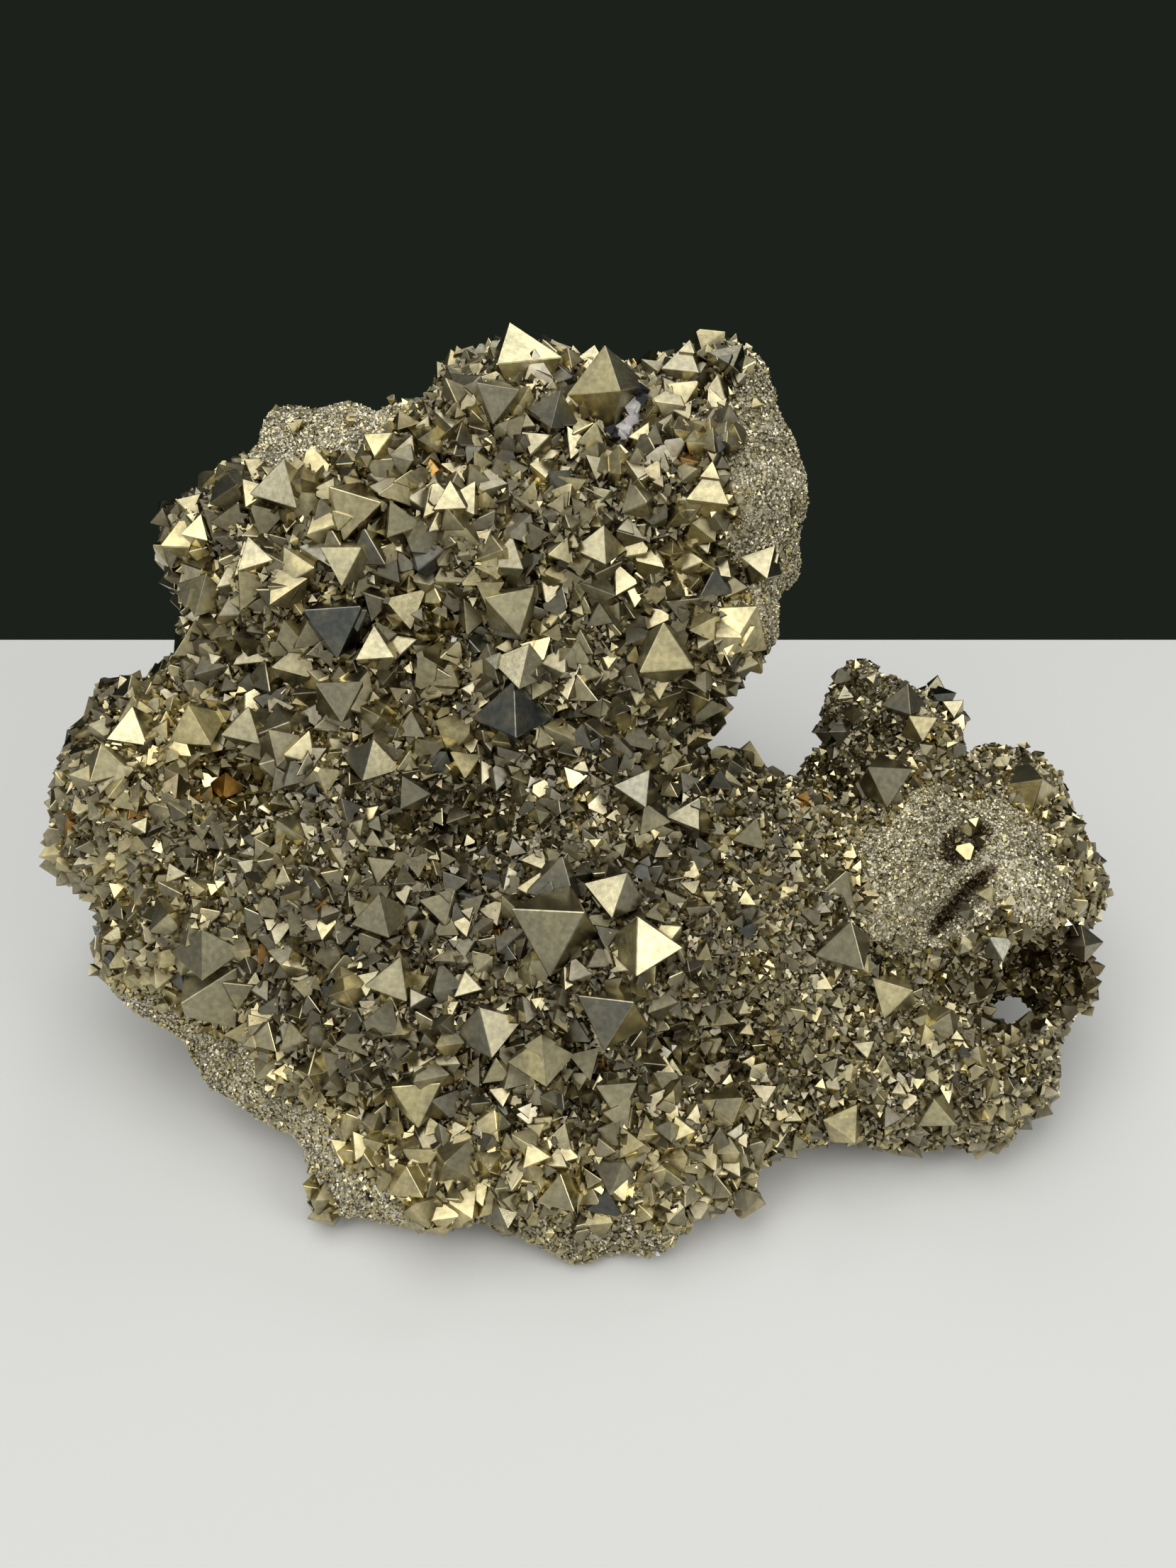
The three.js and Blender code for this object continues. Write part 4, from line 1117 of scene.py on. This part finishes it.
plan = druse["medium"]
rng, places = tryPlaces(plan, grownAreas)
edges = sizesFor(rng, plan, places)
bigEnough = edges > plan["least"]
places, edges = places[bigEnough], edges[bigEnough]
apart = together(large, detailed)
keep = spaced(places, edges, plan["room"], apart["centre"], apart["edge"] * plan["clear"])
medium = dressCrystals(rng, places[keep], edges[keep], plan)
biggest = chosenOf(medium, medium["edge"] > grownOn["from"])
medium = together(medium, sideGrowths(rng, biggest, *grownOn["medium"]))
onMarked = sideGrowths(rng, marked, *grownOn["marked"])
onScattered = sideGrowths(rng, scattered, *grownOn["scattered"])
medium = together(medium, onScattered, detailed)
growCrystals("largeCrystals", ["largeEdged"], together(marked, onMarked), largePyrite, ownPlace=True)
growCrystals("scatteredCrystals", ["unevenEdged"], scattered, largePyrite, ownPlace=True)
isEdged, isUneven = medium["edge"] > closeness["edged"], medium["edge"] > closeness["uneven"]
for name, shapeNames, which in (
        ("mediumCrystals", ["edged", "unevenEdged", "blunted"], isEdged),
        ("modestCrystals", ["uneven"], isUneven & ~isEdged),
        ("fineCrystals", ["sharp"], ~isUneven)):
    growCrystals(name, shapeNames, chosenOf(medium, which), crystalPyrite)

plan = druse["small"]
rng, places = tryPlaces(plan, grownAreas)
edges = sizesFor(rng, plan, places)
keep = spaced(places, edges, plan["room"], medium["centre"], medium["edge"] * plan["clear"])
small = withPaintedGapShade(dressCrystals(rng, places[keep], edges[keep], plan), plan)
growCrystals("smallCrystals", ["sharp"], small, crystalPyrite)

plan = druse["grains"]
fineShare = plan["coarse"] + plan["fine"] * triangleFineness ** plan["finePower"]
rng, places = tryPlaces(plan, grownAreas * fineShare)
places = places[showing(places, together(large, medium))]
edges = sizesFor(rng, plan, places)
growCrystals("grainCrystals", ["sharp"], withPaintedGapShade(dressCrystals(rng, places, edges, plan), plan), crustPyrite)

# Calcite and quartz, white and satin, and black sphalerite, glassier: small grains between the crystals.
# Some by pixel and edge, the rest spread.
specks = {
    "white": {
        "colour": "#d2cecd", "roughness": 0.35, "many": 40, "edge": (1.0, 2.2), "seed": 51,
        "places": [((876, 612), 4.5), ((882, 604), 5), ((888, 596), 5.5), ((893, 587), 5), ((898, 578), 4.5),
                   ((902, 570), 4), ((890, 608), 4), ((1012, 1018), 4), ((640, 905), 3)],
    },
    "black": {
        "colour": "#1d1b1d", "roughness": 0.22, "many": 40, "edge": (1.5, 3.5), "seed": 52,
        "places": [((868, 618), 4.5), ((859, 610), 4), ((898, 602), 3.5), ((909, 562), 4), ((906, 550), 4)],
    },
}
speckPlan = {"sunk": (0.0, 0.3), "lean": 1.2, "uneven": 0.3}


def makePlain(name, colour, roughness):
    material, tree = newMaterial(name)
    surface = addNode(tree, "BsdfPrincipled", inputs={"Base Color": linear(colour), "Roughness": roughness})
    addNode(tree, "OutputMaterial", links={"Surface": surface})
    return material


for name, speck in specks.items():
    material = makePlain(name + "Mineral", speck["colour"], speck["roughness"])
    rng = np.random.default_rng(speck["seed"])
    known = surfaceUnder([pixel for pixel, _ in speck["places"]])
    spread = pickPlaces(rng, speck["many"], grownAreas)
    edges = np.concatenate([[edge for _, edge in speck["places"]], rng.uniform(*speck["edge"], len(spread))])
    grains = dressCrystals(rng, np.concatenate([known, spread]), edges, speckPlan)
    growCrystals(name + "Specks", ["uneven"], grains, material)

# Floor, light and camera. The floor ends behind the cluster, and a dark plain room stands beyond it.
stageLook = {
    "floor": "#d0d0ce", "floorRoughness": 0.6, "floorWide": (3.0, 2.2), "floorBack": 0.193,
    "roomFront": "#d2d2cf", "roomBack": "#1c211b", "roomTurn": (0, -0.8, 0.6), "roomFade": (-0.35, 0.75),
}
bm = bmesh.new()
bmesh.ops.create_grid(bm, x_segments=1, y_segments=1, size=0.5)
bmesh.ops.scale(bm, vec=(*stageLook["floorWide"], 1), verts=bm.verts)
bmesh.ops.translate(bm, vec=(0, stageLook["floorBack"] - stageLook["floorWide"][1] / 2, 0), verts=bm.verts)
floor = addObject("floor", meshFrom(bm, "floor"))
floor.data.materials.append(makePlain("paintedBoard", stageLook["floor"], stageLook["floorRoughness"]))

world = bpy.data.worlds.new("studio")
bpy.context.scene.world = world
world.use_nodes = True
tree = world.node_tree
way = addNode(tree, "TexCoord").outputs["Generated"]
towards = addNode(tree, "VectorMath", {"operation": "DOT_PRODUCT"}, {1: stageLook["roomTurn"]}, {0: way})
dark, bright = stageLook["roomFade"]
fade = addNode(tree, "MapRange", {"interpolation_type": "SMOOTHSTEP"}, {"From Min": dark, "From Max": bright},
               {"Value": towards})
room = addNode(tree, "Mix", {"data_type": "RGBA"}, links={"Factor": fade},
               inputs={"A": linear(stageLook["roomBack"]), "B": linear(stageLook["roomFront"])})
tree.links.new(room.outputs["Result"], tree.nodes["Background"].inputs["Color"])

lamps = {  # place, aim, size and watts
    "overhead": ((-0.2, 0.0, 1.1), (0, 0, 0.05), (1.05, 0.8), 5.6),
    "window": ((-0.8, -0.6, 0.9), (0, 0, 0.08), (0.6, 0.6), 2.7),
    "fill": ((0.9, -0.5, 0.7), (0.1, 0, 0.06), (0.55, 0.55), 4.1),
    "behind": ((0.1, 0.75, 0.85), (0, 0.05, 0.14), (0.6, 0.4), 2.2),
}
for name, (at, aim, size, watts) in lamps.items():
    data = bpy.data.lights.new(name, "AREA")
    data.shape = "RECTANGLE"
    data.size, data.size_y = size
    data.energy = watts
    lamp = addObject(name, data)
    lamp.location = at
    lamp.rotation_euler = (Vector(aim) - Vector(at)).to_track_quat("-Z", "Y").to_euler()
bpy.context.scene.view_settings.view_transform = "Standard"

cameraData = bpy.data.cameras.new("camera")
cameraData.lens = viewpoint["sensor"] * viewpoint["focal"] / viewpoint["longSide"]
cameraData.sensor_width = viewpoint["sensor"]
cameraData.clip_start = viewpoint["nearest"] * mm
camera = addObject("camera", cameraData)
camera.location = (np.array(viewpoint["at"]) + toMiddle) * mm
camera.rotation_euler = (math.radians(90 - viewpoint["pitch"]), 0, 0)
bpy.context.scene.camera = camera
